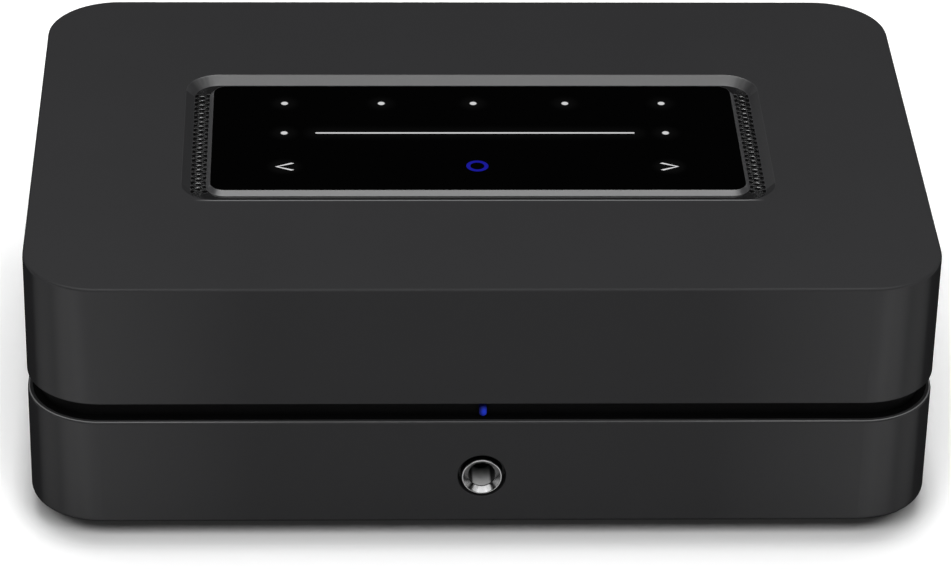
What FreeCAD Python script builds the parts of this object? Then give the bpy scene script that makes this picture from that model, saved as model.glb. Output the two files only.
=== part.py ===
import FreeCAD, Part
import math
import os

from FreeCAD import Vector

# Streaming amplifier, in millimetres: +X to the right, +Y to the rear, +Z up.
# The origin lies on the surface that the feet stand on, under the middle of the whole amplifier,
# headphone socket and speaker terminals included. The pieces are drawn about the middle of the
# casing, and are moved to that origin as they are written.

# Casing outline, heights and walls
case_width = 220.0
case_depth = 149.0
case_corner = 18.2
foot_height = 5.0
lower_height = 28.9
groove_height = 5.1
cover_height = 32.0
case_wall = 2.4
case_floor = 2.4
cover_plate = 3.0
cover_edge = 0.6
cover_lower_edge = 0.3
case_edge = 1.2
rim_edge = 0.5
flat_gap = 0.1
side_gap = 0.2
edge_tolerance = 0.001
slot_roundness = 0.48

# Joint between the two halves of the casing
rim_land = 1.2
flange_height = 1.2
groove_depth = 3.2
frame_wall = 2.0
frame_reach = 1.6

# Recess in the cover and the perforated plate at its floor
recess_width = 146.2
recess_depth = 64.9
recess_corner = 8.5
recess_shift_y = 0.55
recess_fall = 2.0
recess_slope = 2.2
recess_edge = 0.35
grille_thickness = 1.0
grille_overlap = 3.0
vent_radius = 0.75
vent_column_pitch = 1.65
vent_columns = 3
vent_row_pitch = 2.25
vent_rows = 23

# Touch panel: bezel, glass, light guide and board. The strips are the grille that shows round it.
vent_strip = 3.8
front_strip = 3.2
rear_strip = 1.2
glass_corner = 3.5
glass_thickness = 0.8
bezel_bevel = 1.1
bezel_rise = 1.1
neck_inset = 1.1
neck_wall = 2.0
neck_boss_radius = 2.6
guide_thickness = 3.0
guide_rim = 1.6
touch_board_thickness = 1.2
touch_board_margin = 2.0
carrier_height = 5.0
carrier_rim = 2.4
carrier_collar = 2.0
carrier_bridge = 10.0
carrier_bridge_x = 38.0
bezel_overlap = 0.01
ear_thickness = 2.0
ear_radius = 5.0
ear_boss_radius = 3.4
ear_reach = 7.0
ear_y = 22.0

# Icon windows in the glass
icon_depth = 0.3
dot_radius = 1.05
dot_outer_x = 48.0
dot_inner_x = 23.4
dot_inset = 9.3
slider_shift_y = 2.05
slider_half = 40.2
slider_width = 0.7
arrow_tip_x = 49.4
arrow_back_x = 45.4
arrow_half = 1.6
arrow_stroke = 0.75
arrow_inset = 11.7
ring_radius = 2.25
ring_stroke = 1.0
ring_inset = 12.0

# Indicator in the groove
lens_width = 1.8
lens_height = 2.8
lens_proud = 1.5
lens_collar = 1.0
indicator_rise = 2.1
indicator_board_width = 20.0
indicator_board_height = 8.0
indicator_board_thickness = 1.0
indicator_back = 8.0
indicator_peg_x = 7.5
indicator_peg_radius = 1.4
peg_root = 0.5

# Circuit boards and what holds them
board_thickness = 1.6
board_standoff = 2.9
board_side = 20.0
board_rear_gap = 1.0
board_front_y = -34.0
board_split_x = 3.5
board_split_gap = 3.0
headphone_board_half = 20.0
headphone_board_gap = 3.0
notch_clearance = 0.2
boss_radius = 3.0
board_screw_inset = 5.0
board_screw_rear_gap = 1.45
sheet_thickness = 0.4

# Screws: shank, pilot hole, head
screw_radius = 1.5
pilot_clearance = 0.05
pass_clearance = 0.2
screw_head_radius = 2.75
screw_head_height = 2.0
small_screw_radius = 1.1
small_head_radius = 2.0
small_head_height = 1.2
tip_room = 1.0

# Case screws and the posts that they clamp
post_inset = 14.0
lower_post_radius = 4.8
cover_post_radius = 3.8
post_joint_rise = 2.0
case_screw_sink = 20.0
case_screw_length = 20.0

# Feet and floor vents
foot_radius = 9.0
foot_seat = 0.6
foot_inset_x = 28.0
foot_inset_y = 27.0
foot_edge = 0.8
slot_length = 30.0
slot_width = 2.4
slot_pitch = 6.0
slot_count = 6
slot_x = 45.0

# Headphone socket
phone_bore_radius = 3.3
phone_bush_wall = 1.6
phone_bush_lip = 0.3
phone_cone_width = 1.2
phone_cone_depth = 1.0
phone_body_relief = 0.3
phone_moat = 0.95
phone_hole_edge = 0.2
phone_bush_length = 9.0
phone_bush_proud = 0.5
phone_collar_setback = 3.0
phone_body_width = 14.0
phone_body_height = 13.0
phone_body_length = 24.0
phone_bush_seat = 5.0
phone_back_wall = 2.0
contact_width = 1.6
contact_thickness = 0.4
contact_length = 12.0
contact_start = 2.0

# Rear panel
window_margin = 3.3
window_sill = 2.0
window_lintel = 2.5
panel_thickness = 1.6
panel_margin = 2.5
panel_screw_inset = 2.2
bracket_half = 2.4
bracket_depth = 9.6
panel_screw_depth = 6.0
port_proud = 0.8

# Speaker terminals
post_names = ["right_minus", "right_plus", "left_minus", "left_plus"]
block_end = 7.0
block_gap = 1.5
block_thickness = 5.0
block_edge = 0.8
collar_wall = 2.2
collar_length = 4.0
stud_radius = 3.0
stud_shoulder_step = 1.6
stud_shoulder = 1.5
stud_tail_radius = 1.5
stud_tail_end = 1.0
banana_radius = 2.05
banana_depth = 16.0
wire_hole_radius = 1.2
washer_width = 2.3
washer_thickness = 1.2
washer_clearance = 0.3
knob_radius = 5.8
knob_length = 19.0
thread_clearance = 0.06
knob_lip = 0.8
knob_ribs = 20
knob_groove_radius = 0.5
knob_skirt = 1.5
knob_nose = 3.0
knob_nose_step = 1.0
output_board_thickness = 1.6
output_board_gap = 1.0
output_board_height = 16.0

# Mains inlet
inlet_gap = 2.4
inlet_width = 23.0
inlet_height = 15.6
inlet_depth = 20.0
inlet_well_width = 17.0
inlet_well_height = 8.6
inlet_well_depth = 13.0
inlet_pin_radius = 1.2
inlet_pin_spacing = 8.6
inlet_pin_length = 9.5

# Network socket
network_width = 16.0
network_height = 13.5
network_depth = 20.0
network_mouth_width = 11.8
network_mouth_height = 8.0
network_mouth_rise = 2.2
network_mouth_depth = 13.0
network_latch_width = 6.0
network_latch_height = 1.6

# Flat sockets with a tongue
usb_width = 14.5
usb_height = 7.0
usb_depth = 15.0
usb_tongue_width = 11.6
usb_tongue_height = 1.9
usb_tongue_rise = 3.8
hdmi_width = 15.4
hdmi_height = 6.0
hdmi_depth = 12.0
hdmi_tongue_width = 11.0
hdmi_tongue_height = 1.1
hdmi_tongue_rise = 2.45
shell_wall = 0.5
shell_back = 2.5
tongue_setback = 1.2

# Small jack sockets above them
jack_drop = 5.1
jack_bore_radius = 1.8
jack_bore_depth = 14.0
jack_bush_wall = 1.2
jack_body_width = 8.0
jack_body_height = 6.6
jack_body_depth = 14.0

# Subwoofer socket
sleeve_radius = 4.15
sleeve_wall = 0.5
sleeve_length = 9.0
sleeve_flange_step = 1.05
sleeve_flange = 1.0
sub_hole_radius = 1.6
sub_hole_depth = 12.0
sub_body_width = 9.6
sub_body_depth = 9.0

# Set-up button
button_gap = 1.0
button_rise = 3.0
button_radius = 1.75
button_run = 0.05
button_proud = 0.8
button_flange_step = 0.55
button_flange = 0.8
button_stem = 1.5
button_stem_radius = 0.9
button_travel = 0.8
switch_width = 5.0
switch_height = 5.2
switch_depth = 4.0

# Gaps along the row of sockets, from the mains inlet to the set-up button
inlet_to_block = 3.5
block_to_sub = 1.8
sub_to_usb = 1.55
usb_to_hdmi = 1.55
hdmi_to_network = 0.8
network_to_switch = 0.1

# Parts on the power board
sink_edge = 4.0
sink_y = 6.0
sink_width = 40.0
sink_length = 62.0
sink_base = 4.0
sink_height = 32.0
fin_thickness = 1.6
fin_count = 8
sink_leg_radius = 3.0
sink_leg_inset = 6.0
chip_size = 14.0
chip_height = 2.6
chip_spread_y = 15.0
pad_thickness = 0.5
transformer_edge = 4.0
transformer_y = 7.0
transformer_width = 30.0
transformer_depth = 24.0
transformer_height = 22.0
transformer_coil = 16.0
transformer_coil_corner = 4.0
transformer_coil_drop = 4.0
core_share = 0.5
capacitor_radius = 8.5
capacitor_height = 26.0
capacitor_edge = 1.0
capacitor_gap = 1.0
capacitor_rim = 0.8
capacitor_screw_gap = 0.75
choke_radius = 8.5
choke_hole_radius = 3.5
choke_height = 11.0
choke_rim = 2.0
choke_edge = 11.5
choke_gap = 5.0
inductor_size = 9.6
inductor_height = 8.0
inductor_corner = 0.8
inductor_gap = 1.4
inductor_edge = 4.0
inductor_rear_gap = 6.2
inductor_count = 4

# Parts on the main board
link_y = 10.0
link_length = 20.0
link_width = 10.0
link_height = 6.0
processor_edge = 23.0
processor_y = 14.0
processor_size = 16.0
processor_height = 1.4
shield_edge = 7.0
shield_y = -10.0
shield_width = 30.0
shield_depth = 24.0
shield_height = 4.0
shield_corner = 1.0
shield_wall = 0.3
antenna_length = 40.0
antenna_height = 8.0
antenna_thickness = 1.0
flex_edge = 15.0
flex_y = -18.0
flex_width = 16.0
flex_thickness = 0.3
flex_socket_end = 1.0
flex_socket_depth = 4.0
flex_socket_height = 3.0

# Levels and faces that follow from the sizes above
lower_z = foot_height
floor_z = lower_z + case_floor
rim_z = lower_z + lower_height
cover_z = rim_z + groove_height
top_z = cover_z + cover_height
ceiling_z = top_z - cover_plate
recess_z = top_z - recess_fall
carrier_top_z = recess_z - grille_thickness
carrier_z = carrier_top_z - carrier_height
ear_top_z = carrier_z + ear_thickness
glass_top_z = recess_z + bezel_rise
glass_z = glass_top_z - glass_thickness
touch_board_z = carrier_z - touch_board_thickness
board_z = floor_z + board_standoff
board_top_z = board_z + board_thickness
phone_z = board_top_z + phone_body_height / 2
indicator_z = rim_z + indicator_rise
post_joint_z = rim_z + post_joint_rise
front_y = -case_depth / 2
rear_y = case_depth / 2
panel_face_y = rear_y - case_wall
panel_back_y = panel_face_y - panel_thickness
port_face_y = panel_face_y + port_proud
post_x_half = case_width / 2 - post_inset
post_y_half = case_depth / 2 - post_inset
board_half = case_width / 2 - board_side
board_rear_y = panel_back_y - board_rear_gap
window_half = case_width / 2 - case_corner - window_margin
window_z = floor_z + window_sill
window_top_z = rim_z - window_lintel
port_z = (window_z + window_top_z) / 2
inlet_z = board_top_z + inlet_height / 2
jack_z = window_top_z - jack_drop
button_z = board_top_z + button_rise
glass_width = recess_width - 2 * recess_slope - 2 * vent_strip - 2 * bezel_bevel
glass_depth = recess_depth - 2 * recess_slope - front_strip - rear_strip - 2 * bezel_bevel
panel_shift_y = recess_shift_y + (front_strip - rear_strip) / 2
dot_back_y = panel_shift_y + glass_depth / 2 - dot_inset
slider_y = panel_shift_y + slider_shift_y
arrow_y = panel_shift_y - glass_depth / 2 + arrow_inset
ring_y = panel_shift_y - glass_depth / 2 + ring_inset
neck_width = glass_width - 2 * neck_inset
neck_depth = glass_depth - 2 * neck_inset
frame_inner = groove_depth + frame_wall
washer_y = panel_face_y + block_thickness + flat_gap
knob_y = washer_y + washer_thickness + flat_gap
stud_end_y = knob_y + knob_length - knob_lip
output_board_y = panel_face_y - collar_length - stud_shoulder - output_board_gap
output_board_back_y = output_board_y - output_board_thickness
inductor_y = output_board_back_y - inductor_rear_gap - inductor_size / 2
phone_front_y = front_y - phone_bush_proud
bush_end_y = phone_front_y + phone_bush_length
whole_middle_y = (phone_front_y + knob_y + knob_length) / 2

# Radii that follow from what passes through
pilot_radius = screw_radius + pilot_clearance
pass_radius = screw_radius + pass_clearance
small_pilot_radius = small_screw_radius + pilot_clearance
phone_bush_radius = phone_bore_radius + phone_bush_wall
phone_hole_radius = phone_bush_radius + phone_moat
phone_body_bore = phone_bore_radius + phone_body_relief
collar_radius = stud_radius + collar_wall
stud_shoulder_radius = stud_radius + stud_shoulder_step
knob_bore_radius = stud_radius + thread_clearance
washer_bore_radius = stud_radius + washer_clearance
washer_radius = washer_bore_radius + washer_width
jack_bush_radius = jack_bore_radius + jack_bush_wall
sleeve_flange_radius = sleeve_radius + sleeve_flange_step
button_flange_radius = button_radius + button_flange_step

os.makedirs("parts", exist_ok=True)


# Basic solids
def outline(width, depth, corner, z, middle_x=0.0, middle_y=0.0):
    """Closed outline with rounded corners, flat at height z."""
    x = width / 2
    y = depth / 2
    corners = [(x, y, 0), (-x, y, 90), (-x, -y, 180), (x, -y, 270)]
    starts = []
    middles = []
    ends = []
    for corner_x, corner_y, turn in corners:
        centre_x = corner_x - math.copysign(corner, corner_x)
        centre_y = corner_y - math.copysign(corner, corner_y)
        for angle, points in [(turn, starts), (turn + 45, middles), (turn + 90, ends)]:
            direction = math.radians(angle)
            point_x = middle_x + centre_x + corner * math.cos(direction)
            point_y = middle_y + centre_y + corner * math.sin(direction)
            points.append(Vector(point_x, point_y, z))
    edges = []
    for number in range(4):
        edges.append(Part.Arc(starts[number], middles[number], ends[number]).toShape())
        edges.append(Part.makeLine(ends[number], starts[(number + 1) % 4]))
    return Part.Wire(edges)


def slab(width, depth, corner, z, height, middle_x=0.0, middle_y=0.0):
    """Upright block with rounded corners in plan."""
    face = Part.Face(outline(width, depth, corner, z, middle_x, middle_y))
    return face.extrude(Vector(0, 0, height))


def case_slab(inset, z, height):
    """Block that keeps the casing's outline, drawn in by an inset."""
    width = case_width - 2 * inset
    depth = case_depth - 2 * inset
    return slab(width, depth, case_corner - inset, z, height)


def taper(lower, upper):
    """Solid between two outlines."""
    return Part.makeLoft([lower, upper], True, True)


def soften(shape, z, radius, reach=case_width):
    """Rounds every edge that lies flat at height z, no further out than a reach."""
    flat = []
    for edge in shape.Edges:
        box = edge.BoundBox
        level = abs(box.ZMin - z) < edge_tolerance and abs(box.ZMax - z) < edge_tolerance
        if level and max(abs(box.XMin), abs(box.XMax)) < reach:
            flat.append(edge)
    return shape.makeFillet(radius, flat)


def front_edges(shape, y, reach=case_width):
    """Edges that lie upright at depth y, no wider than a reach."""
    found = []
    for edge in shape.Edges:
        box = edge.BoundBox
        level = abs(box.YMin - y) < edge_tolerance and abs(box.YMax - y) < edge_tolerance
        if level and box.XLength < reach:
            found.append(edge)
    return found


def slot_corner(width):
    """Corner radius of a slot with all but round ends."""
    return slot_roundness * width


def block(middle_x, start_y, z, width, depth, height):
    """Square block, centred on middle_x, running from start_y to the rear."""
    return Part.makeBox(width, depth, height, Vector(middle_x - width / 2, start_y, z))


def upright(x, y, z, radius, height):
    """Upright round bar."""
    return Part.makeCylinder(radius, height, Vector(x, y, z), Vector(0, 0, 1))


def rod(x, start_y, z, radius, length):
    """Round bar that runs to the rear from start_y."""
    return Part.makeCylinder(radius, length, Vector(x, start_y, z), Vector(0, 1, 0))


def upright_pill(width, height, x, start_y, z, depth):
    """Bar with half-round ends above and below, running to the rear."""
    radius = width / 2
    reach = height / 2 - radius
    pill = block(x, start_y, z - reach, width, depth, 2 * reach)
    pill = pill.fuse(rod(x, start_y, z - reach, radius, depth))
    pill = pill.fuse(rod(x, start_y, z + reach, radius, depth))
    return pill.removeSplitter()


def flat_pill(width, height, x, start_y, z, depth):
    """Bar with half-round ends at the left and right, running to the rear."""
    radius = height / 2
    reach = width / 2 - radius
    pill = block(x, start_y, z - radius, 2 * reach, depth, height)
    pill = pill.fuse(rod(x - reach, start_y, z, radius, depth))
    pill = pill.fuse(rod(x + reach, start_y, z, radius, depth))
    return pill.removeSplitter()


def screw_up(x, y, head_z, radius, length, head_radius, head_height):
    """Screw driven upwards: head below head_z, shank above it."""
    head = upright(x, y, head_z - head_height, head_radius, head_height)
    return head.fuse(upright(x, y, head_z, radius, length)).removeSplitter()


def screw_down(x, y, head_z, radius, length, head_radius, head_height):
    """Screw driven downwards: head above head_z, shank below it."""
    head = upright(x, y, head_z, head_radius, head_height)
    return head.fuse(upright(x, y, head_z - length, radius, length)).removeSplitter()


def save(node, *solids):
    """Writes one named piece, or one group of like pieces."""
    shape = solids[0] if len(solids) == 1 else Part.makeCompound(list(solids))
    shape.translate(Vector(0, -whole_middle_y, 0))
    shape.exportStep("parts/" + node + ".step")
    print(node, len(shape.Solids), round(shape.Volume, 1), shape.isValid())


# Places of what repeats
case_posts = [(x, y) for x in (-post_x_half, post_x_half) for y in (-post_y_half, post_y_half)]
feet_x = case_width / 2 - foot_inset_x
feet_y = case_depth / 2 - foot_inset_y
feet = [(x, y) for x in (-feet_x, feet_x) for y in (-feet_y, feet_y)]
ear_x = recess_width / 2 - recess_slope + grille_overlap + ear_reach
ears = [(x, recess_shift_y + y) for x in (-ear_x, ear_x) for y in (-ear_y, ear_y)]
neck_boss_x = neck_width / 2 - neck_wall - neck_boss_radius
neck_boss_y = neck_depth / 2 - neck_wall - neck_boss_radius
neck_bosses = [
    (x, panel_shift_y + y) for x in (-neck_boss_x, neck_boss_x) for y in (-neck_boss_y, neck_boss_y)
]

power_board_right = board_split_x - board_split_gap / 2
main_board_left = board_split_x + board_split_gap / 2
headphone_board_front = front_y + case_wall + headphone_board_gap
headphone_board_rear = board_front_y - headphone_board_gap
screw_front_y = board_front_y + board_screw_inset
screw_rear_y = inductor_y - inductor_size / 2 - board_screw_rear_gap - screw_head_radius
power_screws = [
    (x, y)
    for x in (-board_half + board_screw_inset, power_board_right - board_screw_inset)
    for y in (screw_front_y, screw_rear_y)
]
main_screws = [
    (x, y)
    for x in (main_board_left + board_screw_inset, board_half - board_screw_inset)
    for y in (screw_front_y, screw_rear_y)
]
headphone_screw_x = headphone_board_half - board_screw_inset
headphone_screws = [
    (x, y)
    for x in (-headphone_screw_x, headphone_screw_x)
    for y in (headphone_board_front + board_screw_inset, headphone_board_rear - board_screw_inset)
]
board_holes = power_screws + main_screws + headphone_screws

panel_half = window_half + panel_margin
panel_screw_x = window_half - panel_screw_inset
panel_screw_z = window_z + screw_head_radius
panel_screw_top_z = window_top_z - screw_head_radius
panel_holes = [
    (x, z) for x in (-panel_screw_x, panel_screw_x) for z in (panel_screw_z, panel_screw_top_z)
]

# The row of sockets: the inlet stands at the left end, the others run in from the right end, and
# the speaker terminals share the room between them
bracket_edge_x = panel_screw_x - bracket_half
inlet_x = -bracket_edge_x + inlet_gap + inlet_width / 2
button_x = bracket_edge_x - button_gap - button_flange_radius
network_x = button_x - (switch_width + network_width) / 2 - network_to_switch
hdmi_x = network_x - (network_width + hdmi_width) / 2 - hdmi_to_network
usb_x = hdmi_x - (hdmi_width + usb_width) / 2 - usb_to_hdmi
sub_x = usb_x - usb_width / 2 - sub_to_usb - sleeve_flange_radius
block_left = inlet_x + inlet_width / 2 + inlet_to_block
block_right = sub_x - sleeve_flange_radius - block_to_sub
block_width = block_right - block_left
post_pitch = (block_width - 2 * block_end) / (len(post_names) - 1)
posts = [block_left + block_end + post_pitch * number for number in range(len(post_names))]

# Places on the two large boards
sink_x = power_board_right - sink_edge - sink_width / 2
transformer_x = -board_half + transformer_edge + transformer_width / 2
capacitor_x = -board_half + capacitor_edge + capacitor_radius
capacitor_pitch = 2 * capacitor_radius + capacitor_gap
capacitor_y = screw_front_y + screw_head_radius + capacitor_screw_gap + capacitor_radius
choke_x = -board_half + choke_edge + choke_radius
choke_y = port_face_y - inlet_depth - choke_gap - choke_radius
inductor_x = power_board_right - inductor_edge - inductor_size / 2
inductor_pitch = inductor_size + inductor_gap
processor_x = main_board_left + processor_edge + processor_size / 2
shield_x = board_half - shield_edge - shield_width / 2
flex_x = main_board_left + flex_edge + flex_width / 2


# Vent slots through the floor, also cut in the sheet that lies on it
def floor_slots(z, height):
    slots = []
    for side in (-slot_x, slot_x):
        for number in range(slot_count):
            y = (number - (slot_count - 1) / 2) * slot_pitch
            corner = slot_corner(slot_width)
            slots.append(slab(slot_length, slot_width, corner, z, height, side, y))
    return slots


# Upper cover: shell with a chamfered recess, a rebate for the mid frame and four screw posts
def upper_cover():
    shell = soften(case_slab(0, cover_z, cover_height), top_z, cover_edge)
    shell = soften(shell, cover_z, cover_lower_edge)
    shell = shell.cut(case_slab(case_wall, cover_z, ceiling_z - cover_z))
    shell = shell.cut(case_slab(rim_land, cover_z, flange_height))
    floor_width = recess_width - 2 * recess_slope
    floor_depth = recess_depth - 2 * recess_slope
    floor_corner = recess_corner - recess_slope
    rim = outline(recess_width, recess_depth, recess_corner, top_z, 0, recess_shift_y)
    foot = outline(floor_width, floor_depth, floor_corner, recess_z, 0, recess_shift_y)
    well_depth = recess_z - ceiling_z
    well = slab(floor_width, floor_depth, floor_corner, ceiling_z, well_depth, 0, recess_shift_y)
    pocket_width = floor_width + 2 * grille_overlap + 2 * side_gap
    pocket_depth = floor_depth + 2 * grille_overlap + 2 * side_gap
    pocket_corner = floor_corner + grille_overlap + side_gap
    pocket = slab(
        pocket_width, pocket_depth, pocket_corner, ceiling_z, well_depth, 0, recess_shift_y
    )
    shell = shell.cut(taper(foot, rim))
    shell = soften(shell, top_z, recess_edge, recess_width / 2 + edge_tolerance)
    shell = shell.cut(well).cut(pocket)
    for x, y in case_posts:
        shell = shell.fuse(upright(x, y, post_joint_z, cover_post_radius, ceiling_z - post_joint_z))
    for x, y in ears:
        shell = shell.fuse(upright(x, y, ear_top_z, ear_boss_radius, ceiling_z - ear_top_z))
    screw_tip = lower_z + case_screw_sink + case_screw_length
    for x, y in case_posts:
        depth = screw_tip - post_joint_z + tip_room
        shell = shell.cut(upright(x, y, post_joint_z, pilot_radius, depth))
    for x, y in ears:
        depth = ceiling_z - ear_top_z + tip_room
        shell = shell.cut(upright(x, y, ear_top_z, pilot_radius, depth))
    return shell.removeSplitter()


# Vent grille: thin plate under the recess, perforated where it shows at the left and right
def vent_grille():
    width = recess_width - 2 * recess_slope + 2 * grille_overlap
    depth = recess_depth - 2 * recess_slope + 2 * grille_overlap
    corner = recess_corner - recess_slope + grille_overlap
    z = recess_z - grille_thickness
    wires = [outline(width, depth, corner, z, 0, recess_shift_y)]
    opening_width = neck_width + 2 * side_gap
    opening_depth = neck_depth + 2 * side_gap
    opening_corner = glass_corner - neck_inset + side_gap
    wires.append(outline(opening_width, opening_depth, opening_corner, z, 0, panel_shift_y))
    strip_outer = recess_width / 2 - recess_slope
    strip_inner = glass_width / 2 + bezel_bevel
    strip_middle = (strip_outer + strip_inner) / 2
    for side in (-1, 1):
        for column in range(vent_columns):
            x = side * (strip_middle + (column - (vent_columns - 1) / 2) * vent_column_pitch)
            rows = vent_rows - column % 2
            for row in range(rows):
                y = recess_shift_y + (row - (rows - 1) / 2) * vent_row_pitch
                circle = Part.makeCircle(vent_radius, Vector(x, y, z), Vector(0, 0, 1))
                wires.append(Part.Wire([circle]))
    plate = Part.makeFace(wires, "Part::FaceMakerBullseye")
    return plate.extrude(Vector(0, 0, grille_thickness))


# Panel bezel: bevelled ring on the grille plate, with a neck through the plate
def panel_bezel():
    width = glass_width + 2 * bezel_bevel
    depth = glass_depth + 2 * bezel_bevel
    base = outline(width, depth, glass_corner + bezel_bevel, recess_z, 0, panel_shift_y)
    crown = outline(
        glass_width + 2 * flat_gap,
        glass_depth + 2 * flat_gap,
        glass_corner + flat_gap,
        glass_top_z,
        0,
        panel_shift_y,
    )
    neck_corner = glass_corner - neck_inset
    bezel = taper(base, crown)
    neck_height = recess_z - carrier_z
    bezel = bezel.fuse(
        slab(neck_width, neck_depth, neck_corner, carrier_z, neck_height, 0, panel_shift_y)
    )
    bezel = bezel.cut(
        slab(
            glass_width + 2 * flat_gap - 2 * bezel_overlap,
            glass_depth + 2 * flat_gap - 2 * bezel_overlap,
            glass_corner + flat_gap,
            glass_z,
            glass_top_z - glass_z,
            0,
            panel_shift_y,
        )
    )
    hollow = slab(
        neck_width - 2 * neck_wall,
        neck_depth - 2 * neck_wall,
        neck_wall,
        carrier_z,
        glass_z - carrier_z,
        0,
        panel_shift_y,
    )
    bezel = bezel.cut(hollow)
    boss_top = glass_z - guide_thickness
    for x, y in neck_bosses:
        boss = upright(x, y, carrier_z, neck_boss_radius, boss_top - carrier_z)
        corner_x = x + math.copysign(neck_boss_radius, x) / 2
        corner_y = y + math.copysign(neck_boss_radius, y - panel_shift_y) / 2
        web = block(
            corner_x,
            corner_y - neck_boss_radius / 2,
            carrier_z,
            neck_boss_radius,
            neck_boss_radius,
            boss_top - carrier_z,
        )
        bezel = bezel.fuse(boss).fuse(web.common(hollow))
    for x, y in neck_bosses:
        bezel = bezel.cut(upright(x, y, carrier_z, small_pilot_radius, boss_top - carrier_z))
    return bezel.removeSplitter()


# Icon windows, shared by the glass and its inlays
def icon_solids():
    z = glass_top_z - icon_depth
    icons = []
    dots = [(x, dot_back_y) for x in (-dot_outer_x, -dot_inner_x, 0.0, dot_inner_x, dot_outer_x)]
    dots += [(x, slider_y) for x in (-dot_outer_x, dot_outer_x)]
    for x, y in dots:
        icons.append(upright(x, y, z, dot_radius, icon_depth))
    corner = slot_corner(slider_width)
    icons.append(slab(2 * slider_half, slider_width, corner, z, icon_depth, 0, slider_y))
    for side in (-1, 1):
        points = [
            Vector(side * arrow_back_x, arrow_y + arrow_half, z),
            Vector(side * arrow_tip_x, arrow_y, z),
            Vector(side * arrow_back_x, arrow_y - arrow_half, z),
            Vector(side * (arrow_back_x + arrow_stroke), arrow_y - arrow_half - arrow_stroke / 2, z),
            Vector(side * (arrow_tip_x + arrow_stroke), arrow_y, z),
            Vector(side * (arrow_back_x + arrow_stroke), arrow_y + arrow_half + arrow_stroke / 2, z),
        ]
        arrow = Part.Face(Part.makePolygon(points + points[:1]))
        icons.append(arrow.extrude(Vector(0, 0, icon_depth)))
    return icons


def power_ring():
    z = glass_top_z - icon_depth
    ring = upright(0, ring_y, z, ring_radius + ring_stroke / 2, icon_depth)
    return ring.cut(upright(0, ring_y, z, ring_radius - ring_stroke / 2, icon_depth))


# Touch glass: black glass with shallow pockets for the windows
def touch_glass():
    glass = slab(
        glass_width, glass_depth, glass_corner, glass_z, glass_thickness, 0, panel_shift_y
    )
    return glass.cut(Part.makeCompound(icon_solids() + [power_ring()]))


# Light guide: clear plate under the glass that stands on the touch board by its rim
def touch_light_guide():
    width = neck_width - 2 * neck_wall - 2 * side_gap
    depth = neck_depth - 2 * neck_wall - 2 * side_gap
    corner = neck_wall - side_gap
    guide = slab(width, depth, corner, carrier_z, glass_z - carrier_z, 0, panel_shift_y)
    hollow_height = glass_z - guide_thickness - carrier_z
    guide = guide.cut(
        slab(
            width - 2 * guide_rim,
            depth - 2 * guide_rim,
            neck_wall,
            carrier_z,
            hollow_height,
            0,
            panel_shift_y,
        )
    )
    for x, y in neck_bosses:
        side = 2 * (neck_boss_radius + side_gap) + 2 * guide_rim
        guide = guide.cut(
            Part.makeBox(side, side, hollow_height, Vector(x - side / 2, y - side / 2, carrier_z))
        )
    return guide


# Touch board: closes the neck from below and clamps the carrier against the bezel
def touch_board():
    board = slab(
        neck_width + 2 * touch_board_margin,
        neck_depth + 2 * touch_board_margin,
        glass_corner,
        touch_board_z,
        touch_board_thickness,
        0,
        panel_shift_y,
    )
    for x, y in neck_bosses:
        board = board.cut(upright(x, y, touch_board_z, small_pilot_radius, touch_board_thickness))
    return board


def touch_board_screws():
    length = touch_board_thickness + glass_z - guide_thickness - carrier_z - flat_gap
    screws = []
    for x, y in neck_bosses:
        screws.append(
            screw_up(
                x, y, touch_board_z, small_screw_radius, length, small_head_radius, small_head_height
            )
        )
    return screws


# Panel carrier: frame that presses the grille plate against the cover, with four ears
def panel_carrier():
    outer_width = recess_width - 2 * recess_slope + 2 * grille_overlap
    outer_depth = recess_depth - 2 * recess_slope + 2 * grille_overlap
    outer_corner = recess_corner - recess_slope + grille_overlap
    carrier = slab(
        outer_width, outer_depth, outer_corner, carrier_z, carrier_height, 0, recess_shift_y
    )
    carrier = carrier.cut(
        slab(
            outer_width - 2 * carrier_rim,
            outer_depth - 2 * carrier_rim,
            outer_corner - carrier_rim,
            carrier_z,
            carrier_height,
            0,
            recess_shift_y,
        )
    )
    collar_width = neck_width + 2 * side_gap
    collar_depth = neck_depth + 2 * side_gap
    collar = slab(
        collar_width + 2 * carrier_collar,
        collar_depth + 2 * carrier_collar,
        glass_corner + carrier_collar,
        carrier_z,
        carrier_height,
        0,
        panel_shift_y,
    )
    for side in (-carrier_bridge_x, carrier_bridge_x):
        start_y = recess_shift_y - outer_depth / 2 + carrier_rim / 2
        length = outer_depth - carrier_rim
        carrier = carrier.fuse(
            block(side, start_y, carrier_z, carrier_bridge, length, carrier_height)
        )
    carrier = carrier.fuse(collar)
    carrier = carrier.cut(
        slab(
            collar_width,
            collar_depth,
            glass_corner - neck_inset + side_gap,
            carrier_z,
            carrier_height,
            0,
            panel_shift_y,
        )
    )
    for x, y in ears:
        carrier = carrier.fuse(upright(x, y, carrier_z, ear_radius, ear_thickness))
        arm_length = abs(x) - outer_width / 2 + carrier_rim / 2
        arm_x = math.copysign(abs(x) - arm_length / 2, x)
        carrier = carrier.fuse(
            block(arm_x, y - ear_radius, carrier_z, arm_length, 2 * ear_radius, ear_thickness)
        )
    for x, y in ears:
        carrier = carrier.cut(upright(x, y, carrier_z, pass_radius, ear_thickness))
    return carrier.removeSplitter()


def panel_carrier_screws():
    length = ceiling_z - carrier_z
    screws = []
    for x, y in ears:
        screws.append(
            screw_up(x, y, carrier_z, screw_radius, length, screw_head_radius, screw_head_height)
        )
    return screws


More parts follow.
